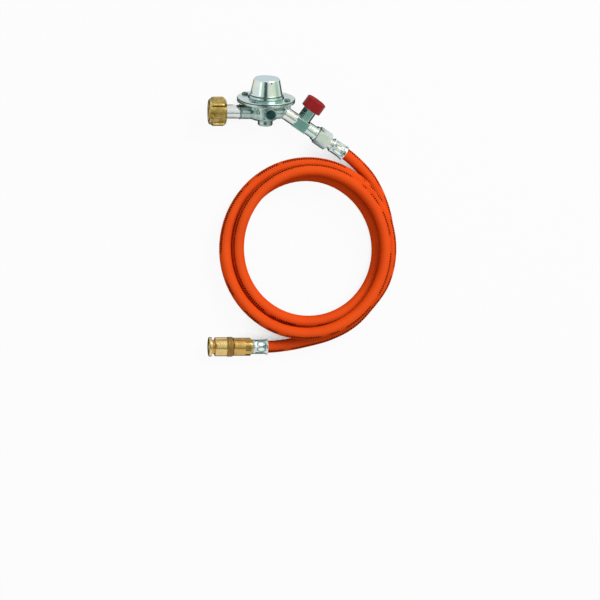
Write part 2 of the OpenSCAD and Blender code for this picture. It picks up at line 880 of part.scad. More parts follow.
// Diaphragm, cover and dome
module diaphragm() {
    fold_at = diaphragm_flat_r + fold_r;
    color("saddlebrown")
        dome()
            difference() {
                union() {
                    rod(flange_top, cover_from, flange_r - 0.3, $fn = 96);
                    rotate_extrude($fn = 96)
                        translate([fold_at, cover_from - 0.3])
                            circle(r = fold_r, $fn = 24);
                }
                rotate_extrude($fn = 96)
                    translate([fold_at, cover_from - 0.3])
                        circle(r = fold_r - diaphragm_t, $fn = 24);
                tube(0, flange_top, fold_at + fold_r + 1, fold_at - fold_r - 1, $fn = 96);
                tube(flange_top - 1, cover_from - 0.3, fold_at + fold_r - diaphragm_t,
                    fold_at - fold_r + diaphragm_t, $fn = 96);
                rod(0, 40, pin_r + seat_gap);
                bosses()
                    rod(0, 40, screw_r + 0.1);
            }
}

module diaphragm_pin() {
    color("silver")
        dome()
            difference() {
                union() {
                    rod(pivot_z - 2.4, plate_to, pin_r);
                    rod(flange_top - 1.1, flange_top, 6);
                    rod(plate_to, plate_to + 0.8, pin_r + 1);
                }
                translate([-5, -lever_w / 2 - 0.3, pivot_z - 1.4])
                    cube([10, lever_w + 0.6, 2.8]);
            }
}

module spring_plate() {
    color("lightslategray")
        dome()
            tube(cover_from, plate_to, plate_r, pin_r + seat_gap);
}

module main_spring() {
    color("dimgray")
        dome()
            spring(8, plate_to + 0.1, plug_from - 0.1, 5, 1.6);
}

module adjusting_plug() {
    color("goldenrod")
        dome()
            difference() {
                rod(plug_from, plug_to, tube_bore_r - seat_gap);
                hexagon(plug_from + 1.5, plug_to + 1, plug_socket);
                rod(plug_from - 1, plug_to, 2);
            }
}

module cover() {
    color("lightslategray")
        dome()
            difference() {
                union() {
                    rotate_extrude($fn = 96)
                        polygon([
                            [0, cover_from], [flange_r, cover_from], [flange_r, cover_face - 0.3],
                            [flange_r - 0.3, cover_face], [collar_r + 0.6, cover_face],
                            [collar_r, cover_face + 0.6], [collar_top_r, collar_to - 0.3],
                            [collar_top_r - 0.3, collar_to], [0, collar_to]
                        ]);
                    rod(collar_to - 1, tube_to, tube_r);
                }
                rod(cover_from - 1, cavity_to, cavity_r);
                rod(cover_from, tube_to + 1, tube_bore_r);
                bosses()
                    rod(0, 40, screw_r + 0.1);
            }
}

module dome_cap() {
    color("lightslategray")
        dome()
            difference() {
                rotate_extrude($fn = 96)
                    polygon([
                        [dome_r - 0.4, collar_to], [dome_r, collar_to + 0.4],
                        [dome_top_r, dome_to - 1.4], [dome_top_r - 0.35, dome_to - 0.5],
                        [dome_top_r - 1.4, dome_to], [0, dome_to], [0, dome_to - dome_wall],
                        [tube_r + seat_gap, dome_to - dome_wall], [tube_r + seat_gap, tube_to - 4],
                        [dome_in_r - 0.2, tube_to - 4], [dome_in_r - 0.2, dome_to - dome_wall - 1.6],
                        [dome_in_r, dome_to - dome_wall - 1.6],
                        [dome_r - dome_wall, collar_to]
                    ]);
                rotate(-90 + vent_turn)
                    translate([dome_in_r + 0.3, 0, dome_to - 2.6])
                        along_x()
                            cylinder(h = 8, r = vent_r, $fn = 24);
            }
}

module cover_screws() {
    color("silver")
        dome()
            bosses()
                difference() {
                    union() {
                        rod(flange_z - boss_h + 2, cover_face, screw_r);
                        rod(cover_face, cover_face + screw_head_h, screw_head_r);
                    }
                    translate([-screw_head_r - 1, -screw_slot / 2, cover_face + screw_head_h - 0.9])
                        cube([2 * screw_head_r + 2, screw_slot, 2]);
                }
}

// Outlet, hose failure valve and button
module outlet_tube() {
    color("silver")
        outlet()
            difference() {
                union() {
                    rod(tube_from - 4, block_from + 3, gas_room_r + 1.2);
                    rod(tube_from, block_from, outlet_r);
                }
                rod(tube_from - 5, block_from + 4, gas_room_r);
            }
}

module valve_block() {
    color("slategray")
        outlet()
            difference() {
                union() {
                    translate([-block_up, -block_w / 2, block_from])
                        cube([block_up + barrel_r, block_w, block_len]);
                    rod(block_to - 0.2, barrel_to, barrel_r);
                    rod(barrel_to, stop_to, stop_r);
                    rod(stop_to, thread_to, outlet_thread_r);
                }
                rod(block_from - 1, block_from + 3.2, gas_room_r + 1.2 + seat_gap);
                rod(block_from, seat_at, gas_room_r);
                rod(seat_at - 1, thread_to + 1, throat_r);
                translate([-block_up - 1, 0, button_at])
                    rotate([0, 90, 0])
                        cylinder(h = 3, r = bonnet_spigot_r + seat_gap);
            }
}

module flow_poppet() {
    color("goldenrod")
        outlet()
            difference() {
                union() {
                    rod(poppet_at, poppet_at + 2, gas_room_r - run_gap);
                    rod(poppet_at + 2, poppet_at + 3.2, flow_r - 0.4);
                    rod(poppet_at + 3.2, seat_at + 4, 1.3);
                }
                for (k = [0 : 3])
                    rotate(k * 90)
                        translate([gas_room_r, 0, 0])
                            rod(poppet_at - 1, poppet_at + 2.01, 1.1, $fn = 24);
            }
}

module flow_spring() {
    color("silver")
        outlet()
            spring(2.9, poppet_at + 3.3, seat_at - 0.1, 4, 0.6);
}

module bonnet() {
    color("slategray")
        button()
            difference() {
                union() {
                    rod(block_up - 1.9, block_up + 0.5, bonnet_spigot_r);
                    rotate(bonnet_turn)
                        hexagon(block_up, bonnet_top, bonnet_af);
                    rod(bonnet_top - 0.5, neck_top, bonnet_af / 2 - 1.4);
                }
                rod(block_up - 3, neck_top + 1, button_pin_r + run_gap);
            }
}

module red_button() {
    color("firebrick")
        button()
            difference() {
                union() {
                    rotate_extrude($fn = 96)
                        polygon([
                            [button_r - button_wall, button_from], [button_r - 0.3, button_from],
                            [button_r, button_from + 0.3], [button_r, button_to - 0.9],
                            [button_r - 0.25, button_to - 0.25], [button_r - 0.9, button_to],
                            [0, button_to], [0, roof_in], [button_r - button_wall, roof_in]
                        ]);
                    rod(neck_top + button_travel + 0.4, roof_in + 0.5, button_pin_r + 1.5);
                }
                rod(button_from, button_to - 1.2, button_pin_r + seat_gap);
            }
}

module button_pin() {
    color("silver")
        button()
            rod(gas_room_r + 0.4, button_to - 1.3, button_pin_r);
}

module button_spring() {
    color("silver")
        button()
            spring(7.4, bonnet_top + 0.1, roof_in - 0.1, 4, 0.9);
}

// Union nut, nipple and ferrules
module union_nut() {
    color("darkgoldenrod")
        outlet()
            difference() {
                intersection() {
                    rotate(union_turn)
                        hexagon(union_from, union_to, union_af);
                    rotate_extrude($fn = 96)
                        polygon([
                            [0, union_from], [union_af / 2 - 0.2, union_from],
                            [union_af / 2 + 1.4, union_from + 0.9],
                            [union_af / 2 + 1.4, union_to - 0.9],
                            [union_af / 2 - 0.2, union_to], [0, union_to]
                        ]);
                }
                rod(union_from - 1, union_in, outlet_thread_r + run_gap);
                rod(union_in - 1, union_to + 1, nipple_r + run_gap);
            }
}

module hose_nipple() {
    color("goldenrod")
        outlet()
            difference() {
                union() {
                    rod(head_start, head_end, nipple_head_r);
                    rod(head_end - 1, ring_from + 1, nipple_r);
                    rod(ring_from, ring_from + 1.5, nipple_ring_r);
                    rod(ring_from + 1, ferrule_from - 1, nipple_ring_r - 1);
                    rod(ferrule_from - 1.5, ferrule_from, nipple_ring_r);
                    rod(ferrule_from - 1, ferrule_to - 2, tail_r);
                }
                rod(head_start - 1, ferrule_to, way_r);
            }
}

module ferrule(from, to) {
    difference() {
        union() {
            rod(from, from + 2, ferrule_r);
            intersection() {
                rod(from + 1, from + crimp_len + 2, ferrule_r);
                rotate(180 / crimps)
                    translate([0, 0, from + 1])
                        cylinder(h = crimp_len, r = crimp_af / 2 / cos(180 / crimps), $fn = crimps);
            }
            rod(from + crimp_len + 1, to, ferrule_r);
            translate([0, 0, to - flare_len])
                rotate_extrude($fn = 96)
                    polygon([
                        [0, 0], [ferrule_r, 0], [flare_r, flare_len - 0.8],
                        [flare_r, flare_len - 0.2], [flare_r - 0.2, flare_len], [0, flare_len]
                    ]);
        }
        rod(from - 1, from + ferrule_end + 1, tail_r + seat_gap);
        rod(from + ferrule_end, to + 1, hose_r + seat_gap);
    }
}

module inlet_ferrule() {
    color("silver")
        outlet()
            ferrule(ferrule_from, ferrule_to);
}

module coupler_ferrule() {
    color("darkgoldenrod")
        coupler()
            ferrule(cup_from, cup_to);
}

module hose_ends() {
    color("orangered") {
        outlet()
            tube(ferrule_from + ferrule_end, ferrule_to, hose_r, tail_r + seat_gap);
        coupler()
            tube(cup_from + ferrule_end, cup_to, hose_r, tail_r + seat_gap);
    }
}

module hose_lead() {
    color("orangered")
        swept(lead_points, lead_aheads, hose_r, 10);
}

module hose_coil() {
    color("orangered")
        swept(coil_points, coil_aheads, hose_r, 6);
}

module hose_tail() {
    color("orangered")
        swept(tail_points, tail_aheads, hose_r, 10);
}

// Quick coupler
module coupler_lip() {
    color("darkgoldenrod")
        coupler()
            difference() {
                rotate_extrude($fn = 96)
                    polygon([
                        [mouth_r, 0], [lip_r - 0.4, 0], [lip_r, 0.4], [lip_r, lip_len - 0.4],
                        [lip_r - 0.4, lip_len], [inner_r + seat_gap, lip_len],
                        [inner_r + seat_gap, nose_from], [socket_r + 0.1, nose_from]
                    ]);
            }
}

module coupler_body() {
    color("darkgoldenrod")
        coupler()
            difference() {
                union() {
                    rod(nose_from, body_from + 1, inner_r);
                    difference() {
                        rod(body_from, body_to, coupler_r);
                        for (k = [0 : 5])
                            rotate(k * 60 + 12)
                                translate([coupler_r - wrench_flat, -10, body_to - wrench_len])
                                    cube([10, 20, wrench_len + 1]);
                    }
                    rod(body_to - 1, step_to, step_r);
                }
                rod(nose_from - 1, room_floor, socket_r);
                tube(socket_to, ring_to, socket_r + 1.1, 1);
                rod(room_floor - 1, room_floor + 1, 3);
                rod(room_floor + 0.6, body_to - 8, poppet_r + 0.5);
                rod(body_to - 9, step_to + 1, way_r);
                rod(body_to - 4, step_to + 1, 5 + seat_gap);
                tube(room_floor - 0.6, room_floor + 0.4, inner_r + 1, inner_r - 0.5);
                for (k = [0 : balls - 1])
                    rotate(k * 360 / balls)
                        translate([socket_r - 1, 0, ball_at])
                            rotate([0, 90, 0])
                                cylinder(h = 6, r = ball_r + run_gap, $fn = 32);
            }
}

module locking_balls() {
    color("silver")
        coupler()
            for (k = [0 : balls - 1])
                rotate(k * 360 / balls)
                    translate([socket_r + 0.03 + ball_r, 0, ball_at])
                        sphere(r = ball_r, $fn = 20);
}

module socket_ring() {
    color("dimgray")
        coupler()
            tube(socket_to + 0.1, ring_to - 0.1, socket_r + 1.07, socket_r + 0.02);
}

module coupler_sleeve() {
    color("darkgoldenrod")
        coupler()
            difference() {
                union() {
                    rotate_extrude($fn = 96)
                        polygon([
                            [0, sleeve_from], [sleeve_r - 0.5, sleeve_from], [sleeve_r, sleeve_from + 0.5],
                            [sleeve_r, sleeve_to - grip_len], [grip_r - 0.3, sleeve_to - grip_len + 0.4],
                            [grip_r, sleeve_to - grip_len + 1], [grip_r, sleeve_to - 1],
                            [grip_r - 1, sleeve_to], [0, sleeve_to]
                        ]);
                }
                rod(sleeve_from - 1, sleeve_to + 1, inner_r + run_gap);
                rod(land_to, sleeve_to - rear_land, sleeve_room_r);
            }
}

module sleeve_spring() {
    color("silver")
        coupler()
            spring(8.65, room_floor + 0.5, sleeve_to - rear_land - 0.1, 4, 0.6);
}

module coupler_poppet() {
    color("goldenrod")
        coupler() {
            rod(room_floor + 0.1, room_floor + 1, 2.4);
            rod(room_floor + 0.7, room_floor + 2.7, poppet_r);
            rod(room_floor + 2.7, room_floor + 6, 1.8);
        }
}

module poppet_spring() {
    color("silver")
        coupler()
            spring(3, room_floor + 2.8, body_to - 9.1, 6, 0.7);
}

module coupler_nipple() {
    color("darkgoldenrod")
        coupler()
            difference() {
                union() {
                    rod(body_to - 4, cup_from, 5);
                    rod(step_to, cup_from, step_r - 1);
                    rod(cup_from - 0.1, cup_to - 2, tail_r);
                }
                rod(body_to - 5, cup_to, way_r);
            }
}

hand_nut();
nut_washer();
inlet_stem();
inlet_gasket();
inlet_filter();
stop_ring();
body_casting();
nozzle();
valve_slide();
valve_disc();
lever();
lever_pin();
diaphragm();
diaphragm_pin();
spring_plate();
main_spring();
adjusting_plug();
cover();
dome_cap();
cover_screws();
port_plug();
outlet_tube();
valve_block();
flow_poppet();
flow_spring();
bonnet();
red_button();
button_pin();
button_spring();
union_nut();
hose_nipple();
inlet_ferrule();
hose_ends();
hose_lead();
hose_coil();
hose_tail();
coupler_ferrule();
coupler_nipple();
coupler_body();
coupler_lip();
coupler_sleeve();
sleeve_spring();
locking_balls();
coupler_poppet();
poppet_spring();
socket_ring();
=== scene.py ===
import json
from math import atan2, ceil, cos, exp, pi, radians, sin, tau

import bmesh
import bpy
from mathutils import Matrix, Vector


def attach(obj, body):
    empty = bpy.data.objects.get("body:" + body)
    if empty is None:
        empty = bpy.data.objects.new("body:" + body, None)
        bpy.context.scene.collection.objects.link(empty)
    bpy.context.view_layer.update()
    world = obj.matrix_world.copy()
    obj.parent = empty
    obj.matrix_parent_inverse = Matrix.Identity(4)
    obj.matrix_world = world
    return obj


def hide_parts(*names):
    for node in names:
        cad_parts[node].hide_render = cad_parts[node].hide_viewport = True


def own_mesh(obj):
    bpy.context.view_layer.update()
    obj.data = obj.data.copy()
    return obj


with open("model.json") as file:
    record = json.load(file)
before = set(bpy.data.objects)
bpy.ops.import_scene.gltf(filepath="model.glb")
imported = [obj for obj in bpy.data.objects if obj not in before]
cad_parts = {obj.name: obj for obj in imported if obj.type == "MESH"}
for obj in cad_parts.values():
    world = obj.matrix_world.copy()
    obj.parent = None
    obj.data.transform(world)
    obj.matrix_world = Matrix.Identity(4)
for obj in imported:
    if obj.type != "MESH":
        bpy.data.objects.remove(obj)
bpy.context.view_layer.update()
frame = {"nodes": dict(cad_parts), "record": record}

mm = 0.001
scene = bpy.context.scene
nodes = frame["nodes"]
bodies = {n: body for body, held in frame["record"]["behaviour"]["bodies"].items() for n in held}


def report(stage):
    print("scene:", stage)


# The camera looks down on the part, turned a little to its left
view = {"tilt": 8, "aim": (103.4, -208.7, -10), "away": 9250, "lens": 500, "sensor": 36, "farthest": 50}
turn = radians(view["tilt"])
cameraData = bpy.data.cameras.new("photoCamera")
cameraData.lens = view["lens"]
cameraData.sensor_width = view["sensor"]
cameraData.clip_end = view["farthest"]
camera = bpy.data.objects.new("photoCamera", cameraData)
scene.collection.objects.link(camera)
camera.rotation_euler = (0, -turn, 0)
camera.location = (Vector(view["aim"]) + view["away"] * Vector((-sin(turn), 0, cos(turn)))) * mm
scene.camera = camera
report("camera")

# Places, in millimetres and degrees, the same as the solids'
lay = {"lean": 15.5, "drop": 34, "domeX": 63.5, "bend": 20, "flange": 32.3, "flangeZ": 11.5, "port": 4,
       "button": 23.68, "coupler": (2, -260.6, 11)}
leaning = radians(lay["lean"])
floorZ = lay["flangeZ"] * sin(leaning) - lay["flange"] * cos(leaning)


def onFloor(x, y, up):
    return Vector((x, y, floorZ + up))


def move(x, y, z):
    return Matrix.Translation((x, y, z))


def rotate(angle, axis):
    return Matrix.Rotation(radians(angle), 4, axis)


couplerAt = onFloor(*lay["coupler"])
lying = rotate(lay["lean"] - 90, "X")
bendAt = Vector((lay["domeX"] + lay["bend"], 0, 0))
domePlace = lying @ move(lay["domeX"], 0, 0)
outletPlace = lying @ move(*bendAt) @ rotate(90 + lay["drop"], "Y")
places = {"inlet": rotate(90, "Y"), "dome": domePlace, "outlet": outletPlace,
          "port": domePlace @ move(lay["port"], 0, 0) @ rotate(90, "X"),
          "button": outletPlace @ move(0, 0, lay["button"]) @ rotate(-90, "Y"),
          "coupler": move(*couplerAt) @ rotate(90, "Y")}


# Shader nodes
class Wire:
    def __init__(self, graph, socket):
        self.graph = graph
        self.socket = socket

    def math(self, operation, first, second):
        return self.graph.add("ShaderNodeMath", {"operation": operation}, {0: first, 1: second})

    def __add__(self, other):
        return self.math("ADD", self, other)

    def __radd__(self, other):
        return self.math("ADD", other, self)

    def __sub__(self, other):
        return self.math("SUBTRACT", self, other)

    def __rsub__(self, other):
        return self.math("SUBTRACT", other, self)

    def __mul__(self, other):
        return self.math("MULTIPLY", self, other)

    def __truediv__(self, other):
        return self.math("DIVIDE", self, other)

    def __pow__(self, other):
        return self.math("POWER", self, other)

    def size(self):
        return self.math("ABSOLUTE", self, 0.0)

    def fraction(self):
        return self.math("FRACT", self, 0.0)

    def above(self, edge):
        return self.math("GREATER_THAN", self, edge)

    def clamped(self):
        return self.graph.add("ShaderNodeClamp", {}, {"Value": self})


class Graph:
    def __init__(self, name):
        self.material = bpy.data.materials.new(name)
        self.material.use_nodes = True
        self.tree = self.material.node_tree
        self.tree.nodes.clear()
        self.shader = self.tree.nodes.new("ShaderNodeBsdfPrincipled")
        self.output = self.tree.nodes.new("ShaderNodeOutputMaterial")
        self.tree.links.new(self.shader.outputs[0], self.output.inputs["Surface"])

    def plug(self, socket, value):
        if isinstance(value, Wire):
            self.tree.links.new(value.socket, socket)
        else:
            socket.default_value = value

    def add(self, kind, settings, inputs, output=0):
        node = self.tree.nodes.new(kind)
        for key, value in settings.items():
            setattr(node, key, value)
        for key, value in inputs.items():
            self.plug(node.inputs[key], value)
        return Wire(self, node.outputs[output])

    def where(self, source="Object"):
        return self.add("ShaderNodeTexCoord", {}, {}, source)

    def split(self, vector, axis):
        return self.add("ShaderNodeSeparateXYZ", {}, {0: vector}, axis)

    def combine(self, first, second=0.0, third=0.0):
        return self.add("ShaderNodeCombineXYZ", {}, {"X": first, "Y": second, "Z": third})

    def noise(self, vector, scale, detail):
        return self.add("ShaderNodeTexNoise", {},
                        {"Vector": vector, "Scale": scale, "Detail": detail, "Roughness": 0.55})

    # The node's colour sockets are 6 and 7, and its colour output is 2
    def mix(self, factor, first, second):
        first, second = (c if isinstance(c, Wire) else (*c, 1) for c in (first, second))
        return self.add("ShaderNodeMix", {"data_type": "RGBA", "clamp_factor": True},
                        {0: factor, 6: first, 7: second}, 2)

    def ranged(self, value, low, high, to=(0, 1)):
        return self.add("ShaderNodeMapRange", {}, {"Value": value, "From Min": low, "From Max": high,
                                                   "To Min": to[0], "To Max": to[1]})

    def local(self, place):
        away, facing, _ = place.decompose()
        return self.add("ShaderNodeMapping", {"vector_type": "TEXTURE"},
                        {"Vector": self.where(), "Location": away * mm, "Rotation": facing.to_euler()})

    def bump(self, height, strength, distance):
        normal = self.add("ShaderNodeBump", {},
                          {"Height": height, "Strength": strength, "Distance": distance})
        self.plug(self.shader.inputs["Normal"], normal)

    def finish(self, **values):
        for key, value in values.items():
            if isinstance(value, tuple):
                value = (*value, 1)
            self.plug(self.shader.inputs[key.replace("_", " ")], value)
        return self.material


# Metals, in the frame of the piece they are on, so that tool marks run round its axis
# The dimple colours are painted shade round the rims and a painted highlight on the faces
grain = {"rings": 1900, "fine": 2600, "specks": 900, "speckShade": 0.35, "blotchRough": 0.16,
         "speckRough": 0.1, "depth": 0.0002, "dimpleRimShade": (0.10, 0.17, 0.16),
         "dimpleFaceHighlight": (0.86, 0.91, 0.90)}


def metal(name, place, light, dark, rough, marks=0.1, tint=None, second=None, cloud=55, bands=(),
          dimples=None):
    g = Graph(name)
    where = g.local(place)
    x, y, z = (g.split(where, axis) for axis in (0, 1, 2))
    radius = (x * x + y * y) ** 0.5
    rings = g.noise(g.combine(radius, third=z), grain["rings"], 2)
    blotch = g.noise(where, cloud, 4)
    fine = g.noise(where, grain["fine"], 2)
    color = g.mix(g.ranged(blotch, 0.34, 0.66), dark, light)
    if tint:
        color = g.mix(g.ranged(g.noise(where, cloud * 0.4, 2), 0.47, 0.62), color, tint)
    if second:
        color = g.mix(g.ranged(g.noise(where, cloud * 0.55, 3), 0.56, 0.7), color, second)
    speck = g.ranged(g.noise(where, grain["specks"], 3), 0.66, 0.74)
    color = g.mix(speck * grain["speckShade"], color, tuple(0.45 * c for c in dark))
    roughness = (rough + (rings - 0.5) * marks + (blotch - 0.5) * grain["blotchRough"]
                 + speck * grain["speckRough"])
    for band in bands:
        inside = z.above(band["from"] * mm) * (1 - z.above(band["to"] * mm))
        color = g.mix(inside, color, band["color"])
        roughness = roughness + inside * band["rougher"]
    if dimples:
        aside = (y.math("ARCTAN2", y, x) * (dimples["count"] / tau)).fraction() - 0.5
        upward = (z - dimples["at"] * mm) / (dimples["half"] * mm)
        reach = ((aside * dimples["wide"]) ** 2 + upward ** 2) ** 0.5
        # Painted shade round each dimple's rim, then a painted highlight on its face
        rim = g.ranged((reach - 1).size(), 0.05, 0.3, (1, 0))
        color = g.mix(rim * 0.8, color, grain["dimpleRimShade"])
        color = g.mix(g.ranged(reach, 0.5, 0.9, (0.7, 0)), color, grain["dimpleFaceHighlight"])
    g.bump(rings * 0.7 + fine * 0.3, marks, grain["depth"])
    return g.finish(Base_Color=color, Roughness=roughness.clamped(), Metallic=1.0)


def plastic(name, light, dark, rough):
    g = Graph(name)
    where = g.where()
    blotch = g.noise(where, 45, 3)
    fine = g.noise(where, 1400, 2)
    scuff = g.ranged(g.noise(where, 260, 5), 0.6, 0.72)
    color = g.mix(g.ranged(blotch, 0.3, 0.7), dark, light)
    color = g.mix(scuff * 0.12, color, tuple(0.5 * c + 0.1 for c in light))
    g.bump(fine, 0.1, grain["depth"])
    return g.finish(Base_Color=color, Roughness=rough + (fine - 0.5) * 0.1 + scuff * 0.1,
                    Specular_IOR_Level=0.18)


# Bands and dimples stand at heights along the piece's axis, in millimetres. The dark bands on the dome and
# the cover are painted shade in the seams and creases round the dome's foot and the cover's collar and rim;
# the dimples get painted shade round their rims and a painted highlight on their faces
finishes = {
    "zinc_plate": {"light": (0.68, 0.77, 0.75), "dark": (0.50, 0.62, 0.60), "rough": 0.15,
                   "tint": (0.70, 0.73, 0.52), "second": (0.72, 0.60, 0.50)},
    "dome_zinc": {"light": (0.68, 0.77, 0.75), "dark": (0.54, 0.66, 0.62), "rough": 0.2,
                  "tint": (0.70, 0.73, 0.52), "second": (0.74, 0.60, 0.48),
                  # Painted shade in the seam at the dome's foot, then a bluer, rougher band round its top
                  # rim
                  "bands": [{"from": 19.5, "to": 20.5, "color": (0.10, 0.18, 0.16), "rougher": 0.1},
                            {"from": 37.8, "to": 39.0, "color": (0.50, 0.62, 0.66), "rougher": 0.15}]},
    "cover_zinc": {"light": (0.52, 0.62, 0.63), "dark": (0.38, 0.50, 0.50), "rough": 0.2,
                   "tint": (0.44, 0.60, 0.52),
                   # Painted shade under the dome's foot, in the crease at the collar's foot and in the seam
                   # at the rim's lower edge
                   "bands": [{"from": 19.1, "to": 20.0, "color": (0.14, 0.25, 0.22), "rougher": 0.1},
                             {"from": 16.4, "to": 17.2, "color": (0.10, 0.20, 0.18), "rougher": 0.1},
                             {"from": 14.8, "to": 15.5, "color": (0.16, 0.24, 0.22), "rougher": 0.1}]},
    "ferrule_zinc": {"light": (0.70, 0.78, 0.76), "dark": (0.46, 0.57, 0.55), "rough": 0.2, "cloud": 170,
                     "dimples": {"count": 8, "wide": 2.3, "at": 58.2, "half": 4.4}},
    "hose_zinc": {"light": (0.74, 0.79, 0.78), "dark": (0.50, 0.58, 0.57), "rough": 0.2, "cloud": 170,
                  "dimples": {"count": 8, "wide": 3.1, "at": 76.0, "half": 6.2}},
    "plug_steel": {"light": (0.06, 0.12, 0.13), "dark": (0.015, 0.045, 0.05), "rough": 0.25},
    "cast_zinc": {"light": (0.50, 0.59, 0.57), "dark": (0.24, 0.33, 0.31), "rough": 0.2, "marks": 0.05,
                  "cloud": 90, "bands": [{"from": 8.4, "to": 11.5, "color": (0.34, 0.45, 0.43),
                                          "rougher": 0.1}]},
    "chrome": {"light": (0.76, 0.76, 0.75), "dark": (0.64, 0.66, 0.65), "rough": 0.13, "marks": 0.07},
    "nut_brass": {"light": (0.50, 0.365, 0.12), "dark": (0.24, 0.16, 0.035), "rough": 0.28,
                  "tint": (0.56, 0.44, 0.20), "cloud": 110},
    "coupler_brass": {"light": (0.86, 0.62, 0.27), "dark": (0.62, 0.42, 0.15), "rough": 0.2,
                      "second": (0.72, 0.42, 0.16)},
    "body_brass": {"light": (0.66, 0.40, 0.13), "dark": (0.42, 0.23, 0.06), "rough": 0.2,
                   "second": (0.60, 0.27, 0.09), "tint": (0.60, 0.36, 0.10)},
    "dark_steel": {"light": (0.22, 0.28, 0.28), "dark": (0.10, 0.14, 0.14), "rough": 0.22},
    "spring_steel": {"light": (0.50, 0.50, 0.50), "dark": (0.34, 0.34, 0.35), "rough": 0.3},
}
grip = {"from": 19.6, "to": 27.3, "color": (0.26, 0.15, 0.04), "rougher": 0.2}
finishes["sleeve_brass"] = {**finishes["coupler_brass"], "bands": [grip]}
made = {"red_plastic": plastic("redPlastic", (0.34, 0.008, 0.010), (0.24, 0.004, 0.008), 0.4),
        "black_rubber": plastic("blackRubber", (0.02, 0.02, 0.02), (0.01, 0.01, 0.01), 0.7)}

# The axis that each piece stands on; the rest stand on the dome's
homes = {}
for home, held in {
    "inlet": ("hand_nut", "nut_washer", "inlet_stem", "inlet_filter", "stop_ring", "nozzle"),
    "outlet": ("outlet_tube", "valve_block", "flow_poppet", "flow_spring", "union_nut", "hose_nipple",
               "inlet_ferrule"),
    "button": ("bonnet", "red_button", "button_pin", "button_spring"),
    "coupler": ("coupler_ferrule", "coupler_nipple", "coupler_body", "coupler_lip", "coupler_sleeve",
                "sleeve_spring", "locking_balls", "coupler_poppet", "poppet_spring", "socket_ring"),
}.items():
    homes.update({n: home for n in held})
slots = {s["node"]: s["material_slot"] for s in frame["record"]["subparts"]}


def look(finish, home):
    if finish in made:
        return made[finish]
    key = finish + "_" + home
    if key not in made:
        made[key] = metal(key, places[home], **finishes[finish])
    return made[key]


def linked(name, bm, material):
    mesh = bpy.data.meshes.new(name)
    bm.to_mesh(mesh)
    bm.free()
    mesh.materials.append(material)
    piece = bpy.data.objects.new(name, mesh)
    scene.collection.objects.link(piece)
    return piece


def finishPiece(name, bm, material, stands, place=None, smooth=40):
    if place is not None:
        bmesh.ops.transform(bm, matrix=Matrix.Scale(mm, 4) @ place, verts=bm.verts)
    bmesh.ops.recalc_face_normals(bm, faces=bm.faces)
    for face in bm.faces:
        face.smooth = True
    for edge in bm.edges:
        edge.smooth = edge.calc_face_angle(0) < radians(smooth)
    piece = linked(name, bm, material)
    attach(piece, bodies[stands[0]])
    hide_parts(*stands)
    return piece


def fitted(name, bm, finish, home, node, smooth=40):
    return finishPiece(name, bm, look(finish, home), stands=(node,), place=places[home], smooth=smooth)


# A copy of a solid's mesh, with its triangles joined
def merged(node):
    bm = bmesh.new()
    bm.from_mesh(nodes[node].data)
    bmesh.ops.remove_doubles(bm, verts=bm.verts, dist=1e-6)
    return bm


# The hose: a lead from the ferrule, a coil that piles up, and a tail to the coupler
hose = {"diameter": 13.3, "sides": 32, "ringsPerTurn": 72, "length": 1.97, "startAt": 84.2,
        "finishAt": 65.5, "lead": ((177, -66, 10), (190, -85, 7.5), (199, -107, 6.9)),
        "tail": ((175, -220, 20), (157, -236.5, 18), (135, -247.5, 16), (112, -254, 13.5),
                 (90, -258.5, 11.5))}
coil = {"x": 112.3, "y": -151.8, "inner": 79.6, "entry": 18.8, "entryAt": 0.05, "settle": 0.29,
        "step": 7.2, "stepTurns": (1.55, 1.98), "stepOut": 6.9, "outTurns": (2.13, 2.5), "bulge": 0.9,
        "bulgeAt": 2.6, "bulgeLong": 0.13, "wide": 0.985, "tall": 1.015, "lift": 0.05, "gap": 0.5,
        "climbTurns": (0.93, 1.38), "hump": 12.4, "upTurns": (1.55, 1.84), "downTurns": (2.27, 2.62),
        "firstAngle": 50, "start": 0.1, "end": 3.2}


def ease(u):
    v = min(1, max(0, u))
    return v ** 3 * (10 - 15 * v + 6 * v * v)


def between(t, turns):
    return ease((t - turns[0]) / (turns[1] - turns[0]))


# A point of the coil, t turns on from its first angle
def coilPoint(t):
    radius = (coil["inner"] + coil["entry"] * exp(-(t - coil["entryAt"]) / coil["settle"])
              + coil["step"] * between(t, coil["stepTurns"])
              + coil["stepOut"] * between(t, coil["outTurns"])
              + coil["bulge"] * exp(-((t - coil["bulgeAt"]) / coil["bulgeLong"]) ** 2))
    height = (hose["diameter"] / 2 + coil["lift"]
              + (hose["diameter"] + coil["gap"]) * between(t, coil["climbTurns"])
              + coil["hump"] * (between(t, coil["upTurns"]) - between(t, coil["downTurns"])))
    angle = radians(coil["firstAngle"] - 360 * t)
    return onFloor(coil["x"] + coil["wide"] * radius * cos(angle),
                   coil["y"] + coil["tall"] * radius * sin(angle), height)


def coilAhead(t):
    return (coilPoint(t + 0.004) - coilPoint(t - 0.004)).normalized()


def through(knots, first, last, steps):
    slopes = []
    for i, knot in enumerate(knots):
        if i == 0:
            slopes.append(first * (knots[1] - knot).length)
        elif i == len(knots) - 1:
            slopes.append(last * (knot - knots[i - 1]).length)
        else:
            slopes.append((knots[i + 1] - knots[i - 1]) / 2)
    points = []
    for i in range(len(knots) - 1):
        for k in range(steps):
            u = k / steps
            points.append((2 * u ** 3 - 3 * u ** 2 + 1) * knots[i] + (u ** 3 - 2 * u ** 2 + u) * slopes[i]
                          + (3 * u ** 2 - 2 * u ** 3) * knots[i + 1] + (u ** 3 - u ** 2) * slopes[i + 1])
    return points + [knots[-1]]


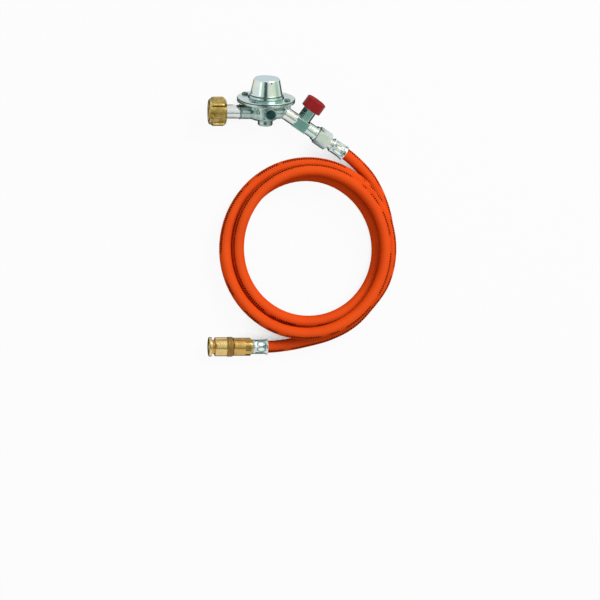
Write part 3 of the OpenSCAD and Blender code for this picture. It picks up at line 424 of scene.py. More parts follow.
outletAhead = (outletPlace.to_3x3() @ Vector((0, 0, 1))).normalized()
hoseStart = bendAt + hose["startAt"] * outletAhead
hoseFinish = couplerAt + Vector((hose["finishAt"], 0, 0))
leadKnots = [hoseStart, *(onFloor(*knot) for knot in hose["lead"]), coilPoint(coil["start"])]
tailKnots = [coilPoint(coil["end"]), *(onFloor(*knot) for knot in hose["tail"]), hoseFinish]
coilSteps = ceil((coil["end"] - coil["start"]) * hose["ringsPerTurn"])
coilPath = [coilPoint(coil["start"] + (coil["end"] - coil["start"]) * i / coilSteps)
            for i in range(1, coilSteps)]
hosePath = (through(leadKnots, outletAhead, coilAhead(coil["start"]), 7) + coilPath
            + through(tailKnots, coilAhead(coil["end"]), Vector((-1, 0, 0)), 6))


def makeHose():
    sides, radius = hose["sides"], hose["diameter"] / 2
    bm = bmesh.new()
    flat = bm.loops.layers.uv.new("UVMap")
    ring = bmesh.ops.create_circle(bm, cap_ends=False, segments=sides, radius=radius)["verts"]
    edges = bm.edges[:]
    last, along, marks = Matrix.Identity(4), 0, {}
    for i, point in enumerate(hosePath):
        ahead = (hosePath[min(i + 1, len(hosePath) - 1)] - hosePath[max(i - 1, 0)]).normalized()
        across = ahead.cross(Vector((0, 0, 1))).normalized()
        stand = Matrix((across, across.cross(-ahead), ahead)).transposed().to_4x4()
        stand.translation = point
        if i:
            along += (point - hosePath[i - 1]).length * mm
            grown = bmesh.ops.extrude_edge_only(bm, edges=edges)["geom"]
            ring = [g for g in grown if isinstance(g, bmesh.types.BMVert)]
            fresh = set(ring)
            edges = [g for g in grown if isinstance(g, bmesh.types.BMEdge) and fresh.issuperset(g.verts)]
        here = stand @ last.inverted()
        bmesh.ops.transform(bm, matrix=here, verts=ring)
        last = stand
        back = stand.inverted()
        for v in ring:
            local = back @ v.co
            marks[v] = (along, atan2(local.y, local.x) / tau % 1)
    for face in bm.faces:
        turns = [marks[loop.vert][1] for loop in face.loops]
        for loop in face.loops:
            far, turnAt = marks[loop.vert]
            loop[flat].uv = (far, turnAt + (max(turns) - turnAt > 0.5))
    bmesh.ops.holes_fill(bm, edges=[e for e in bm.edges if e.is_boundary], sides=0)
    return bm


# Orange rubber, with a painted highlight along the top of the hose, painted shade down its sides, and a
# broken line of dark print that follows the hose; places round it are in turns
rubber = {"light": (0.79, 0.074, 0.004), "dark": (0.68, 0.052, 0.003), "crestHighlight": (0.86, 0.13, 0.035),
          "side": (0.16, 0.010, 0.001), "ink": (0.025, 0.007, 0.004), "scuff": (0.70, 0.14, 0.04),
          "top": 0.75, "printAt": 0.61, "narrow": 19, "wander": 0.05, "ticks": 400, "tickGap": 0.35,
          "ragged": 0.9, "rough": 0.42, "depth": 0.0003}


def hoseRubber():
    g = Graph("orangeRubber")
    where = g.where()
    flat = g.where("UV")
    along, around = g.split(flat, 0), g.split(flat, 1)
    blotch = g.noise(where, 24, 4)
    fine = g.noise(where, 1300, 2)
    color = g.mix(g.ranged(blotch, 0.3, 0.7), rubber["dark"], rubber["light"])
    # Painted highlight along the top of the hose, and painted shade down its sides
    aside = (around - rubber["top"]).size()
    color = g.mix(g.ranged(aside, 0.02, 0.2, (1, 0)) * 0.3, color, rubber["crestHighlight"])
    color = g.mix(g.ranged(aside, 0.19, 0.26) * 0.42, color, rubber["side"])
    lane = g.combine(along, around * 0.02)
    drift = (g.noise(lane, 4, 1) - 0.5) * rubber["wander"]
    line = 1 - ((around - rubber["printAt"] + drift) * rubber["narrow"]).size()
    words = g.ranged(g.noise(lane, 38, 1), 0.40, 0.44)
    ticks = (along * rubber["ticks"]).fraction().above(rubber["tickGap"])
    strokes = (ticks * g.noise(lane, 900, 2).above(0.34)).clamped()
    height = (g.noise(lane, 1500, 2) - 0.5) * rubber["ragged"]
    inked = (g.ranged(line + height, 0.2, 0.5) * words * strokes).clamped()
    color = g.mix(inked, color, rubber["ink"])
    scuff = g.ranged(g.noise(where, 330, 5), 0.62, 0.75)
    color = g.mix(scuff * 0.1, color, rubber["scuff"])
    g.bump(fine + g.noise(lane, 90, 2) * 0.4, 0.12, rubber["depth"])
    return g.finish(Base_Color=color, Roughness=rubber["rough"] + (blotch - 0.5) * 0.12 + scuff * 0.12,
                    Specular_IOR_Level=0.0)


made["orange_rubber"] = hoseRubber()

# The finishes of the solids that stay in view, and then the hose
for name, obj in nodes.items():
    obj.data.materials.clear()
    obj.data.materials.append(look(slots[name], homes.get(name, "dome")))
hosePiece = finishPiece("orangeHose", makeHose(), made["orange_rubber"], place=Matrix.Identity(4),
                        stands=("hose_lead", "hose_coil", "hose_tail"), smooth=50)
hoseLength = sum((b - a).length for a, b in zip(hosePath, hosePath[1:])) * mm
report(f"hose, {hoseLength:.3f} m")


# Shapes: a rounded outline, spun about its axis and then pressed into shape
def rounded(corners, size=0.3, closed=True, steps=3, longest=2.0):
    corners = [(*c, size)[:3] for c in corners]
    points = [Vector(c[:2]) for c in corners]
    line = []
    for i, (point, corner) in enumerate(zip(points, corners)):
        if not closed and i in (0, len(points) - 1) or not corner[2]:
            line.append(point)
            continue
        before, after = points[i - 1] - point, points[(i + 1) % len(points)] - point
        reach = min(corner[2], before.length * 0.45, after.length * 0.45)
        first, last = point + before.normalized() * reach, point + after.normalized() * reach
        for k in range(steps + 1):
            u = k / steps
            line.append((1 - u) ** 2 * first + 2 * u * (1 - u) * point + u * u * last)
    fine = []
    for i, point in enumerate(line):
        fine.append(point)
        if closed or i < len(line) - 1:
            rest = line[(i + 1) % len(line)] - point
            parts = ceil(rest.length / longest)
            fine += [point + rest * k / parts for k in range(1, parts)]
    return fine


def turned(line, sides=96, closed=True, shape=None):
    bm = bmesh.new()
    verts = [bm.verts.new((p.x, 0, p.y)) for p in line]
    for a, b in zip(verts, verts[1:] + verts[:1] if closed else verts[1:]):
        bm.edges.new((a, b))
    bmesh.ops.spin(bm, geom=bm.verts[:] + bm.edges[:], cent=(0, 0, 0), axis=(0, 0, 1), dvec=(0, 0, 0),
                   angle=tau, steps=sides, use_merge=True, use_duplicate=False)
    bmesh.ops.remove_doubles(bm, verts=bm.verts, dist=0.0001)
    if shape:
        for v in bm.verts:
            r = v.co.xy.length
            if r > 0.001:
                v.co.xy *= shape(r, atan2(v.co.y, v.co.x), v.co.z) / r
    return bm


# The smaller of two radii, with the corner between them rounded a little
def lesser(a, b, sharp):
    low, high = min(a, b), max(a, b)
    return low * (1 + (low / high) ** sharp) ** (-1 / sharp)


def flats(across, count, start, angle, sharp):
    step = tau / count
    off = (angle - radians(start) + step / 2) % step - step / 2
    return lesser(across / 2 / cos(off), across / 2 / cos(step - abs(off)), sharp * 2)


def box(low, high, soft, segments=3):
    bm = bmesh.new()
    bmesh.ops.create_cube(bm, size=1)
    low, high = Vector(low), Vector(high)
    bmesh.ops.scale(bm, vec=high - low, verts=bm.verts)
    bmesh.ops.translate(bm, vec=(low + high) / 2, verts=bm.verts)
    bmesh.ops.bevel(bm, geom=bm.edges[:], offset=soft, offset_type="OFFSET", segments=segments,
                    profile=0.5, affect="EDGES", material=-1, clamp_overlap=True)
    broad = sorted(bm.faces, key=lambda face: face.calc_area())[-6:]
    bmesh.ops.inset_individual(bm, faces=broad, thickness=soft * 0.3, use_even_offset=True)
    return bm


def joined(*parts):
    whole = parts[0]
    for part in parts[1:]:
        mesh = bpy.data.meshes.new("part")
        part.to_mesh(mesh)
        part.free()
        whole.from_mesh(mesh)
        bpy.data.meshes.remove(mesh)
    return whole


def placed(bm, matrix):
    bmesh.ops.transform(bm, matrix=matrix, verts=bm.verts)
    return bm


def cut(bm, tool):
    pair = []
    for part in (bm, tool):
        bmesh.ops.recalc_face_normals(part, faces=part.faces)
        mesh = bpy.data.meshes.new("cut")
        part.to_mesh(mesh)
        part.free()
        pair.append(bpy.data.objects.new("cut", mesh))
        scene.collection.objects.link(pair[-1])
    away = pair[0].modifiers.new("away", "BOOLEAN")
    away.operation = "DIFFERENCE"
    away.solver = "EXACT"
    away.object = pair[1]
    mesh = bpy.data.meshes.new_from_object(pair[0].evaluated_get(bpy.context.evaluated_depsgraph_get()))
    result = bmesh.new()
    result.from_mesh(mesh)
    for spare in [mesh] + [obj.data for obj in pair]:
        bpy.data.meshes.remove(spare)
    return result


# Hand nut: seven ribs, a threaded mouth and a back wall round the stem
nut = {"length": 19, "radius": 16.6, "core": 14.2, "ribs": 7, "rib": 3.6, "turn": 46.6, "side": 0.5,
       "foot": 0.55, "chamfer": 0.9, "front": 3, "slope": 3.4, "end": 13.4, "thread": 10.35,
       "threadLength": 7.5, "threadStep": 0.2, "pitch": 1.81, "depth": 0.55, "relief": 10.85, "wall": 14,
       "hole": 7.83, "crown": 0.25, "sides": 420}


def nutShape(r, angle, z):
    if r > nut["core"] - 1:
        step = tau / nut["ribs"]
        off = abs((angle - radians(nut["turn"]) + step / 2) % step - step / 2) * nut["core"]
        side = (off - nut["rib"] / 2) / nut["side"]
        core = nut["core"] - nut["foot"] * exp(-(side - 1) ** 2) * min(1, z / 2)
        low = min(r, core)
        crown = r - nut["crown"] * (off / nut["rib"] * 2) ** 2 * (r - low) / (nut["radius"] - nut["core"])
        return low + (crown - low) * (1 - ease(side)) if off < nut["rib"] / 2 + nut["side"] else low
    if abs(r - nut["thread"]) < 0.02:
        inside = min(1, z - nut["chamfer"], nut["threadLength"] - z)
        return r + nut["depth"] * max(0, inside) * abs(2 * ((z / nut["pitch"] + angle / tau) % 1) - 1)
    return r


def makeNut():
    c, r, end, soft = nut["core"], nut["radius"], nut["length"], nut["chamfer"]
    rows = round((nut["threadLength"] - soft) / nut["threadStep"])
    threads = [(nut["thread"], nut["threadLength"] - nut["threadStep"] * k, 0) for k in range(1, rows + 1)]
    line = rounded([(c - soft, 0, 0.3), (c, soft, 0.5), (r - 0.7, nut["front"], 0.9),
                    (r, nut["front"] + 0.9, 0.9), (r, end - nut["slope"], 1.2), (nut["end"], end, 0.8),
                    (nut["hole"], end), (nut["hole"], nut["wall"]), (nut["relief"], nut["wall"], 0.5),
                    (nut["relief"], nut["threadLength"], 0.2), *threads, (nut["thread"] + soft, 0, 0.2)],
                   longest=0.6)
    return turned(line, nut["sides"], shape=nutShape)


fitted("handNut", makeNut(), "nut_brass", "inlet", "hand_nut")

# Inlet stem with its head, and the groove that the stop ring snaps into
stem = {"radius": 7.75, "head": 9.7, "headFrom": 8.6, "headTo": 12.6, "neckFrom": 35.3, "bore": 4.03,
        "boreDepth": 2.5, "way": 2.6, "groove": 34.3, "grooveLength": 0.7, "grooveDepth": 0.5, "seat": 1,
        "seatIn": 5, "seatOut": 8.5, "spigot": 6.2, "spigotTo": 44.3}


def makeStem():
    s = stem
    start, r = s["headFrom"], s["radius"]
    inGroove, grooveTo = r - s["grooveDepth"], s["groove"] + s["grooveLength"]
    return turned(rounded([(s["seatOut"], start), (s["head"], start, 0.3), (s["head"], s["headTo"], 0.5),
                           (r, s["headTo"], 0.4), (r, s["groove"], 0.1), (inGroove, s["groove"], 0),
                           (inGroove, grooveTo, 0), (r, grooveTo, 0.1), (r, s["neckFrom"], 0.1),
                           (s["spigot"], s["neckFrom"], 0.1), (s["spigot"], s["spigotTo"]),
                           (s["way"], s["spigotTo"]), (s["way"], start + s["boreDepth"], 0.2),
                           (s["bore"], start + s["boreDepth"], 0.1), (s["bore"], start, 0.2),
                           (s["seatIn"], start), (s["seatIn"], start + s["seat"], 0.1),
                           (s["seatOut"], start + s["seat"], 0.1)], longest=4), 128)


fitted("inletStem", makeStem(), "chrome", "inlet", "inlet_stem")

# Cast body, with the soft edges of a casting
cast = {"voxel": 0.45, "factor": 0.5, "passes": 5}
casting = finishPiece("bodyCasting", merged("body_casting"), look("cast_zinc", "dome"), ("body_casting",))
skin = casting.modifiers.new("skin", "REMESH")
skin.mode = "VOXEL"
skin.voxel_size = cast["voxel"] * mm
skin.use_smooth_shade = True
soft = casting.modifiers.new("soft", "SMOOTH")
soft.factor = cast["factor"]
soft.iterations = cast["passes"]

# Springs, merged from their solids, each listed with the joint that presses it
springs = {"buttonSpring": ("button_spring", "button_press"),
           "flowSpring": ("flow_spring", "flow_valve_slide"),
           "sleeveSpring": ("sleeve_spring", "sleeve_slide"),
           "poppetSpring": ("poppet_spring", "coupler_valve_slide"),
           "mainSpring": ("main_spring", "diaphragm_slide")}
joints = {joint["name"]: joint for joint in frame["record"]["behaviour"]["joints"]}


def makeSpring(name, node, jointName):
    piece = finishPiece(name, merged(node), look(slots[node], homes.get(node, "dome")), (node,), smooth=50)
    low, high = joints[jointName]["range_m"]
    pressed = Vector(joints[jointName]["axis"]).normalized() * (1 if high > 0 else -1)
    reaches = [pressed.dot(v.co) for v in piece.data.vertices]
    1 - max(high, -low) / (max(reaches) - min(reaches))
    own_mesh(piece)


for springName, (springNode, springJoint) in springs.items():
    makeSpring(springName, springNode, springJoint)
report("springs")

# Cover, pressed from sheet, with its collar and the spring housing
cover = {"from": 15.0, "face": 16.3, "rim": 32.3, "collar": 20, "top": 19.2, "collarTo": 19.7,
         "wall": 1.4, "tube": 12.6, "bore": 10.8, "tubeTo": 33.7}


def makeCover():
    c = cover
    inner = c["top"] - c["wall"]
    return turned(rounded([(c["rim"], c["from"], 0.3), (c["rim"], c["face"], 0.7),
                           (c["collar"] + 0.5, c["face"], 0.7), (c["collar"] - 0.1, c["face"] + 0.7, 0.4),
                           (c["top"], c["collarTo"], 0.7), (c["tube"], c["collarTo"], 0.3),
                           (c["tube"], c["tubeTo"]), (c["bore"], c["tubeTo"]),
                           (c["bore"], c["collarTo"] - c["wall"]), (inner, c["collarTo"] - c["wall"], 0.5),
                           (inner, c["from"])], longest=3), 180)


fitted("cover", makeCover(), "cover_zinc", "dome", "cover")

# Dome cap: a cone with a shallow dish on top, a rolled foot and a vent
dome = {"foot": 18.6, "shoulder": 14.8, "from": 19.7, "to": 38.3, "wall": 1.2, "dish": 12.9,
        "dishDepth": 0.35, "vent": 0.9, "ventTurn": -76, "ventAt": 35.7}


def makeDome():
    d = dome
    inner, roof = d["shoulder"] - d["wall"], d["to"] - d["wall"]
    line = rounded([(0, roof), (inner, roof, 1), (d["foot"] - d["wall"], d["from"]),
                    (d["foot"] - 0.1, d["from"], 0.3), (d["foot"], d["from"] + 0.7, 0.4),
                    (d["foot"] - 0.45, d["from"] + 1.5, 0.5), (d["shoulder"], d["to"] - 1.3, 1.3),
                    (d["shoulder"] - 1.1, d["to"], 0.8), (d["dish"], d["to"], 0.4),
                    (d["dish"] - 0.6, d["to"] - d["dishDepth"], 0.5), (0, d["to"] - d["dishDepth"])],
                   closed=False, steps=5, longest=1.5)
    rod = ((0, -2), (d["vent"], -2), (d["vent"], 2), (0, 2))
    vent = turned([Vector(corner) for corner in rod], 32, closed=False)
    at = rotate(d["ventTurn"], "Z") @ move(inner + 0.6, 0, d["ventAt"]) @ rotate(90, "Y")
    return cut(turned(line, 160, closed=False), placed(vent, at))


fitted("domeCap", makeDome(), "dome_zinc", "dome", "dome_cap")

# Slotted cover screws
screw = {"count": 4, "circle": 26.4, "turn": 35, "head": 3.5, "height": 2.5, "shank": 2, "foot": 9.5,
         "slot": 0.9, "slotDepth": 1.0, "slotTurn": 20, "slotStep": 35}


def makeScrews():
    s, face = screw, cover["face"]
    line = rounded([(0, s["foot"]), (s["shank"], s["foot"], 0.3), (s["shank"], face, 0),
                    (s["head"], face, 0.15), (s["head"], face + 1.3, 0.4), (s["head"] - 1, face + 2.2, 0.8),
                    (0, face + s["height"])], closed=False, steps=5)
    heads = []
    for k in range(s["count"]):
        slot = box((-5, -s["slot"] / 2, face + s["height"] - s["slotDepth"]),
                   (5, s["slot"] / 2, face + 4), 0.08, 1)
        slot = placed(slot, rotate(s["slotStep"] * k + s["slotTurn"], "Z"))
        around = -s["turn"] - 360 * k / s["count"]
        heads.append(placed(cut(turned(line, 64, closed=False), slot),
                            rotate(around, "Z") @ move(s["circle"], 0, 0)))
    return joined(*heads)


fitted("coverScrews", makeScrews(), "dark_steel", "dome", "cover_screws", smooth=30)

# Square plug in the port on the body's side
plug = {"side": 7, "turn": 45, "soft": 0.45, "washer": 5.3, "height": 1.6, "at": 14.7, "collar": 3.4,
        "from": 9}


def makePlug():
    half, at = plug["side"] / 2, plug["at"]
    head = placed(box((-half, -half, 0), (half, half, plug["height"]), plug["soft"]),
                  move(0, 0, at) @ rotate(plug["turn"], "Z"))
    thread = turned(rounded([(0, plug["from"]), (plug["collar"], plug["from"]), (plug["collar"], at + 0.3),
                             (0, at + 0.3)], closed=False), 64)
    washer = turned(rounded([(0, at - 0.1), (plug["washer"], at - 0.1, 0.1),
                             (plug["washer"], at + 0.5, 0.3), (0, at + 0.5)], closed=False), 64)
    return joined(head, thread, washer)


fitted("portPlug", makePlug(), "plug_steel", "port", "port_plug")

# Outlet tube, welded into the body's elbow
tube = {"from": 1.4, "to": 17, "radius": 7.3, "inner": 5.2, "innerFrom": -2.6, "innerTo": 20, "bore": 4}


def makeTube():
    t = tube
    return turned(rounded([(t["radius"], t["from"], 0.25), (t["radius"], t["to"], 0.25),
                           (t["inner"], t["to"], 0.1), (t["inner"], t["innerTo"]),
                           (t["bore"], t["innerTo"]), (t["bore"], t["innerFrom"]),
                           (t["inner"], t["innerFrom"]), (t["inner"], t["from"], 0.1)], longest=4), 128)


fitted("outletTube", makeTube(), "chrome", "outlet", "outlet_tube")

# Valve block: a milled block, a turned barrel, a stop collar and the outlet thread
block = {"from": 15.6, "to": 32.37, "up": 5.6, "down": 7.2, "width": 14, "soft": 0.55, "barrel": 7.2,
         "barrelTo": 42.5, "stop": 8.5, "stopTo": 45.1, "thread": 6.5, "threadTo": 54.1, "pitch": 1.34,
         "threadStep": 0.2, "threadRows": 40, "runout": 0.6, "depth": 0.5, "bore": 2.6}


def blockShape(r, angle, z):
    if abs(r - block["thread"]) < 0.05 and z > block["stopTo"] + block["runout"]:
        inside = max(0, min(1, (block["threadTo"] - 0.5 - z) * 1.5, z - block["stopTo"] - 0.8))
        return r - block["depth"] * inside * abs(2 * ((z / block["pitch"] + angle / tau) % 1) - 1)
    return r


def makeBlock():
    b = block
    body = box((-b["up"], -b["width"] / 2, b["from"]), (b["down"], b["width"] / 2, b["to"]), b["soft"], 4)
    threads = [(b["thread"], b["stopTo"] + b["runout"] + b["threadStep"] * k, 0)
               for k in range(b["threadRows"])]
    line = rounded([(0, b["to"] - 1), (b["barrel"], b["to"] - 1, 0), (b["barrel"], b["barrelTo"], 0.15),
                    (b["stop"], b["barrelTo"], 0.35), (b["stop"], b["stopTo"], 0.35),
                    (b["thread"], b["stopTo"], 0.1), *threads, (b["thread"] - 0.6, b["threadTo"], 0.3),
                    (b["bore"], b["threadTo"], 0.2), (b["bore"], b["to"] + 4, 0), (0, b["to"] + 4)],
                   closed=False, longest=2)
    return joined(body, turned(line, 128, closed=False, shape=blockShape))


fitted("valveBlock", makeBlock(), "zinc_plate", "outlet", "valve_block")

# Bonnet: a hexagon with a round neck, under the button
bonnet = {"across": 14, "turn": 1, "from": 5.6, "to": 19.6, "neck": 5.6, "neckTo": 23, "hole": 1.58,
          "spigot": 4.4, "spigotFrom": 3.7}


def bonnetShape(r, angle, z):
    if r > bonnet["neck"] + 0.3 and bonnet["from"] - 0.1 < z < bonnet["to"] + 0.1:
        return lesser(r, flats(bonnet["across"], 6, bonnet["turn"] + 30, angle, 60), 120)
    return r


def makeBonnet():
    b = bonnet
    corner = b["across"] / 2 / cos(pi / 6)
    return turned(rounded([(b["hole"], b["spigotFrom"]), (b["spigot"], b["spigotFrom"], 0.2),
                           (b["spigot"], b["from"], 0), (corner - 0.9, b["from"], 0.1),
                           (corner, b["from"] + 0.5, 0.3), (corner, b["to"] - 0.7, 0.3),
                           (corner - 1.2, b["to"], 0.2), (b["neck"], b["to"], 0.2),
                           (b["neck"], b["neckTo"], 0.4), (b["hole"], b["neckTo"], 0.2)], longest=0.7),
                  192, shape=bonnetShape)


fitted("bonnet", makeBonnet(), "zinc_plate", "button", "bonnet")

# Red reset button, a moulded cap with fine grips under its rim
button = {"radius": 11.6, "from": 19.1, "to": 32, "wall": 1.8, "roof": 29.5, "boss": 3, "pin": 1.53,
          "bossFrom": 26.4, "grips": 60, "gripDepth": 0.06, "gripFrom": 20.2, "gripTo": 29.6}


def buttonShape(r, angle, z):
    if r > button["radius"] - 0.05 and button["gripFrom"] < z < button["gripTo"]:
        return r - button["gripDepth"] * (0.5 + 0.5 * cos(angle * button["grips"])) ** 3
    return r


def makeButton():
    b = button
    r, end, inner = b["radius"], b["to"], b["radius"] - b["wall"]
    return turned(rounded([(0, b["roof"] + 0.4), (b["pin"], b["roof"] + 0.4), (b["pin"], b["bossFrom"]),
                           (b["boss"], b["bossFrom"], 0.3), (b["boss"], b["roof"], 0.3),
                           (inner, b["roof"], 0.8), (inner, b["from"], 0.2), (r, b["from"], 0.35),
                           (r, end - 0.9, 0.3), (r - 0.25, end - 0.9, 0.4), (r - 1.4, end, 0.9),
                           (r - 2.6, end, 0.3), (r - 3, end - 0.3, 0.3), (0, end - 0.3)],
                          closed=False, steps=4, longest=1.2),
                  240, closed=False, shape=buttonShape)


redPiece = fitted("redButton", makeButton(), "red_plastic", "button", "red_button")
redPiece.visible_glossy = False

# Union nut
union = {"across": 18, "turn": 20, "from": 45.4, "to": 62.2, "inner": 57.6, "bore": 6.58, "hole": 4.68,
         "chamfer": 1.0, "face": 8.8}


def unionShape(r, angle, z):
    if r > union["face"] - 0.3:
        return lesser(r, flats(union["across"], 6, union["turn"], angle, 90), 150)
    return r


def makeUnion():
    u = union
    corner = u["across"] / 2 / cos(pi / 6) + 0.1
    return turned(rounded([(u["bore"] + 0.6, u["from"]), (u["face"], u["from"], 0.1),
                           (corner, u["from"] + u["chamfer"], 0.3), (corner, u["to"] - u["chamfer"], 0.3),
                           (u["face"], u["to"], 0.1), (u["hole"], u["to"], 0.3), (u["hole"], u["inner"]),
                           (u["bore"], u["inner"]), (u["bore"], u["from"] + 0.6, 0.1)], longest=0.7),
                  240, shape=unionShape)


fitted("unionNut", makeUnion(), "zinc_plate", "outlet", "union_nut")

# Hose nipple with its two rings
nipple = {"head": 6, "headFrom": 54.4, "headTo": 57.3, "neck": 4.6, "ring": 6.6, "ringLength": 1.5,
          "from": 62.5, "to": 66.5, "waist": 5.6, "tail": 3.13, "tailTo": 84.5, "bore": 2.2}


def makeNipple():
    n = nipple
    low, high = n["from"] + n["ringLength"], n["to"] - n["ringLength"]
    return turned(rounded([(n["head"], n["headFrom"], 0.2), (n["head"], n["headTo"], 0.2),
                           (n["neck"], n["headTo"]), (n["neck"], n["from"], 0.1),
                           (n["ring"], n["from"], 0.4), (n["ring"], low, 0.4),
                           (n["waist"], low, 0.15), (n["waist"], high, 0.15),
                           (n["ring"], high, 0.4), (n["ring"], n["to"], 0.3), (n["tail"], n["to"]),
                           (n["tail"], n["tailTo"]), (n["bore"], n["tailTo"]), (n["bore"], n["headFrom"])],
                          steps=4), 112)


fitted("hoseNipple", makeNipple(), "chrome", "outlet", "hose_nipple")

# Crimped ferrules, one at each end of the hose
crimp = {"radius": 8, "across": 14.8, "count": 8, "from": 2, "to": 12, "fade": 0.9, "flare": 8.7,
         "flareLength": 3, "wall": 1.6, "hose": 6.68, "tail": 3.16, "dimples": 8, "dimple": 0.35,
         "dimpleNarrow": 5.2, "dimpleIn": 1.1, "dimpleLong": 0.8, "couplerFrom": 49.3, "couplerTo": 65.7}


def makeFerrule(start, end):
    c = crimp

    def pressed(r, angle, z):
        if r < c["hose"] + 0.4:
            return r
        z -= start
        amount = ease((z - c["from"]) / c["fade"]) * ease((c["to"] - z) / c["fade"])
        r += amount * (lesser(r, flats(c["across"], c["count"], 180 / c["count"], angle, 40), 90) - r)
        turnOff = (angle * c["dimples"] / tau) % 1 - 0.5
        below = z - (end - start) + c["flareLength"] + c["dimpleIn"]
        near = (turnOff * c["dimpleNarrow"]) ** 2 + (below / c["dimpleLong"]) ** 2
        return r - c["dimple"] * exp(-near * 1.6)

    return turned(rounded([(c["radius"], start, 0.7), (c["radius"], end - c["flareLength"], 0.6),
                           (c["flare"], end - 0.8, 0.3), (c["flare"], end, 0.25), (c["hose"], end, 0.2),
                           (c["hose"], start + c["wall"]), (c["tail"], start + c["wall"]),
                           (c["tail"], start, 0.2)], longest=0.45), 160, shape=pressed)


fitted("inletFerrule", makeFerrule(nipple["to"], nipple["tailTo"]), "hose_zinc", "outlet", "inlet_ferrule")
ferruleEnd = fitted("couplerFerrule", makeFerrule(crimp["couplerFrom"], crimp["couplerTo"]),
                    "ferrule_zinc", "coupler", "coupler_ferrule")

# Quick coupler: lip, sliding sleeve and body with wrench flats
lip = {"radius": 10.8, "length": 3.3, "mouth": 8.6, "nose": 1.6, "hole": 6.1, "inner": 7.63}
sleeve = {"from": 6.8, "to": 27.2, "radius": 10.5, "grip": 11, "gripLength": 6.9, "bore": 7.68, "room": 9.1,
          "landTo": 11.8, "rear": 25.7, "knurls": 72, "knurl": 0.16}
socket = {"radius": 7.6, "from": 1.6, "bodyFrom": 27.5, "body": 10, "bodyTo": 46.7, "flatFrom": 40.3,
          "flat": 9.4, "turn": 12, "step": 8.2, "stepTo": 48.9, "bore": 6, "floor": 17.2, "hole": 3,
          "room": 4.3, "roomTo": 38.7, "way": 2.2}


def makeLip():
    r, end, nose = lip["radius"], lip["length"], lip["nose"]
    return turned(rounded([(lip["mouth"], 0, 0.3), (r, 0, 0.5), (r, end, 0.5), (lip["inner"], end, 0.2),
                           (lip["inner"], nose, 0.05), (lip["hole"], nose, 0.15)]), 144)


def makeSleeve():
    s = sleeve
    start = s["to"] - s["gripLength"]

    def knurled(r, angle, z):
        if r < s["grip"] - 0.05 or not start + 1.4 < z < s["to"] - 1.4:
            return r
        return r - s["knurl"] * (0.5 + 0.5 * cos(angle * s["knurls"])) ** 2

    return turned(rounded([(s["bore"], s["from"], 0.2), (s["radius"], s["from"], 0.6),
                           (s["radius"], start, 0.3), (s["grip"], start + 0.8, 0.4),
                           (s["grip"], s["to"] - 1, 0.5), (s["grip"] - 1, s["to"], 0.3),
                           (s["bore"], s["to"], 0.1), (s["bore"], s["rear"]), (s["room"], s["rear"]),
                           (s["room"], s["landTo"]), (s["bore"], s["landTo"])],
                          longest=1.2), 288, shape=knurled)


def makeSocket():
    s = socket

    def milled(r, angle, z):
        if r > s["step"] + 0.5 and s["flatFrom"] < z < s["bodyTo"] + 0.1:
            return lesser(r, flats(2 * s["flat"], 6, s["turn"], angle, 90), 200)
        return r

    r, floor, wall = s["body"], s["floor"], s["floor"] + 0.6
    line = rounded([(s["bore"], s["from"], 0.2), (s["radius"], s["from"], 0.2),
                    (s["radius"], s["bodyFrom"], 0), (r, s["bodyFrom"], 0.4), (r, s["flatFrom"] - 0.05, 0),
                    (r, s["flatFrom"] + 0.05, 0), (r, s["bodyTo"], 0.4), (s["step"], s["bodyTo"], 0.3),
                    (s["step"], s["stepTo"], 0.4), (s["way"], s["stepTo"]), (s["way"], s["roomTo"]),
                    (s["room"], s["roomTo"]), (s["room"], wall), (s["hole"], wall), (s["hole"], floor, 0.1),
                    (s["bore"], floor, 0.1)], longest=1)
    return turned(line, 192, shape=milled)


couplerLip = fitted("couplerLip", makeLip(), "coupler_brass", "coupler", "coupler_lip")
couplerSleeve = fitted("couplerSleeve", makeSleeve(), "sleeve_brass", "coupler", "coupler_sleeve")
couplerSocket = fitted("couplerSocket", makeSocket(), "body_brass", "coupler", "coupler_body")

# The hose, like the button, stays out of the metal's reflections
hosePiece.visible_glossy = False
nodes["stop_ring"].data.materials[0] = look("dark_steel", "inlet")
report("turned pieces")

hoseStart * mm
[p * mm for p in hosePath]
report("coupler on the hose")

# Floor, lights and the white surroundings; the floor glows less where the part covers it
# The under colour is the painted shade under the part that the metal reflects
studio = {"floor": 12, "floorGap": 0.2, "white": 0.94, "pale": 0.6, "shadeReach": 0.035,
          "shade": (0.12, 0.42), "key": 62, "fill": 8, "lamp": 1.6, "aim": (0.1, -0.14, 0), "world": 0.42,
          "cardsRound": (0.1, -0.05, 0), "under": (0.05, 0.09, 0.08), "underGap": 0.1}


def sheet(wide, tall, place):
    bm = bmesh.new()
    bmesh.ops.create_grid(bm, x_segments=1, y_segments=1, size=0.5)
    return placed(bm, place @ Matrix.Diagonal((wide, tall, 1, 1)))


def makeFloor():
    g = Graph("studioFloor")
    g.finish(Base_Color=(studio["pale"],) * 3, Roughness=1.0, Specular_IOR_Level=0.0)
    glow = g.add("ShaderNodeEmission", {}, {"Color": (1, 1, 1, 1), "Strength": 1.0})
    seen = g.add("ShaderNodeLightPath", {}, {}, "Is Camera Ray")
    mirrored = g.add("ShaderNodeLightPath", {}, {}, "Is Glossy Ray")
    covered = g.add("ShaderNodeAmbientOcclusion", {"samples": 8}, {"Distance": studio["shadeReach"]}, "AO")
    bare = g.ranged(covered, *studio["shade"])
    factor = (seen + mirrored).clamped() * bare * studio["white"]
    both = g.add("ShaderNodeMixShader", {}, {0: factor, 1: Wire(g, g.shader.outputs[0]), 2: glow})
    g.plug(g.output.inputs["Surface"], both)
    bm = sheet(studio["floor"], studio["floor"], move(0.1, -0.15, (floorZ - studio["floorGap"]) * mm))
    linked("studioFloor", bm, g.material)


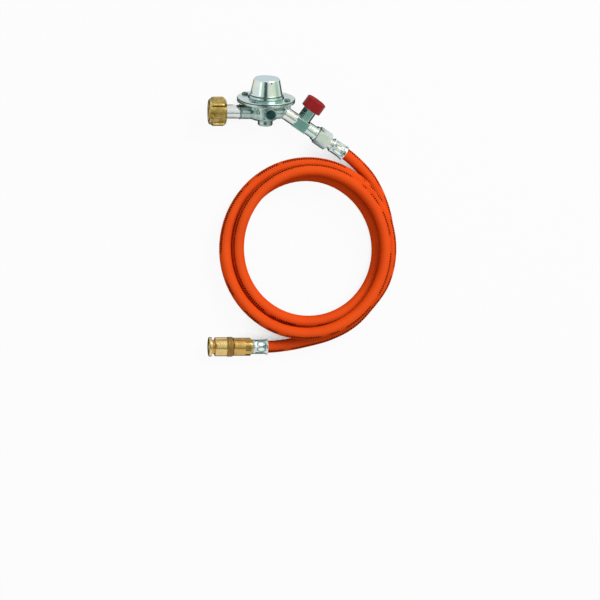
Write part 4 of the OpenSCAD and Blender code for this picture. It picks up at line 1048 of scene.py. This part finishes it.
def softBox(name, place, power):
    light = bpy.data.lights.new(name, "AREA")
    light.shape = "RECTANGLE"
    light.size = light.size_y = studio["lamp"]
    light.energy = power
    lamp = bpy.data.objects.new(name, light)
    lamp.location = place
    lamp.rotation_euler = (Vector(place) - Vector(studio["aim"])).to_track_quat("Z", "Y").to_euler()
    scene.collection.objects.link(lamp)


# Dark and warm cards round the part, which only its reflections see
def glowing(name, bm, color):
    g = Graph(name)
    glow = g.add("ShaderNodeEmission", {}, {"Color": (*color, 1), "Strength": 1.0})
    g.plug(g.output.inputs["Surface"], glow)
    piece = linked(name, bm, g.material)
    piece.visible_camera = piece.visible_diffuse = piece.visible_shadow = False


def card(name, azimuth, elevation, away, size, color):
    facing = rotate(azimuth, "Y") @ rotate(-elevation, "X")
    glowing(name, sheet(*size, move(*studio["cardsRound"]) @ facing @ move(0, 0, away)), color)


def underShadeCard(name, left, right, low, high):
    # A dark sheet that only reflections see, painted shade in place of the floor beneath the part
    middle = onFloor((left + right) / 2, (low + high) / 2, -studio["underGap"]) * mm
    glowing(name, sheet((right - left) * mm, (high - low) * mm, move(*middle)), studio["under"])


makeFloor()

# Each card's angles in degrees, and its distance, size and colour
card("middleCard", -14, 0, 1.3, (0.60, 1.6), (0.005, 0.04, 0.03))
card("shadeCard", -38, 0, 1.31, (0.48, 1.6), (0.70, 0.82, 0.70))
card("warmCard", 33, 0, 1.33, (1.72, 1.6), (1.0, 0.95, 0.80))
card("greenCard", 80, 0, 1.31, (0.75, 1.6), (0.50, 0.72, 0.62))
card("edgeCard", 106, 0, 1.3, (0.80, 1.6), (0.20, 0.36, 0.30))
card("whiteCard", 6.5, 0, 1.29, (0.34, 1.6), (0.92, 0.95, 0.96))
card("frontCard", 8, -31, 1.28, (0.5, 0.34), (0.22, 0.40, 0.35))
card("lineCard", 0, -17, 1.27, (2.6, 0.06), (0.05, 0.07, 0.06))

# Dark cards just under the part, which only reflections see, are painted shade of the floor beneath it:
# left, right, low and high edges, in millimetres
under = {"below": (-20, 150, -64, 10), "stem": (-20, 32, 10, 30), "left": (16, 32, 30, 56),
         "right": (106, 165, 10, 56), "coupler": (-12, 82, -285, -238)}
for name, (left, right, low, high) in under.items():
    underShadeCard(name + "UnderShadeCard", left, right, low, high)
softBox("keyLight", (1.4, 1.2, 2.0), studio["key"])
softBox("fillLight", (-1.7, -0.2, 2.0), studio["fill"])

# White surroundings, brighter to the camera and in reflections than on the part
world = bpy.data.worlds.new("studioWorld")
world.use_nodes = True
sky = world.node_tree
backdrop = sky.nodes["Background"]
backdrop.inputs["Color"].default_value = (1, 1, 1, 1)
seen = sky.nodes.new("ShaderNodeLightPath")
shown = sky.nodes.new("ShaderNodeMath")
shown.operation = "MAXIMUM"
power = sky.nodes.new("ShaderNodeMapRange")
power.inputs["To Min"].default_value = studio["world"]
power.inputs["To Max"].default_value = 1
sky.links.new(seen.outputs["Is Camera Ray"], shown.inputs[0])
sky.links.new(seen.outputs["Is Glossy Ray"], shown.inputs[1])
sky.links.new(shown.outputs[0], power.inputs["Value"])
sky.links.new(power.outputs[0], backdrop.inputs["Strength"])
scene.world = world
scene.view_settings.view_transform = "Standard"
report("studio")
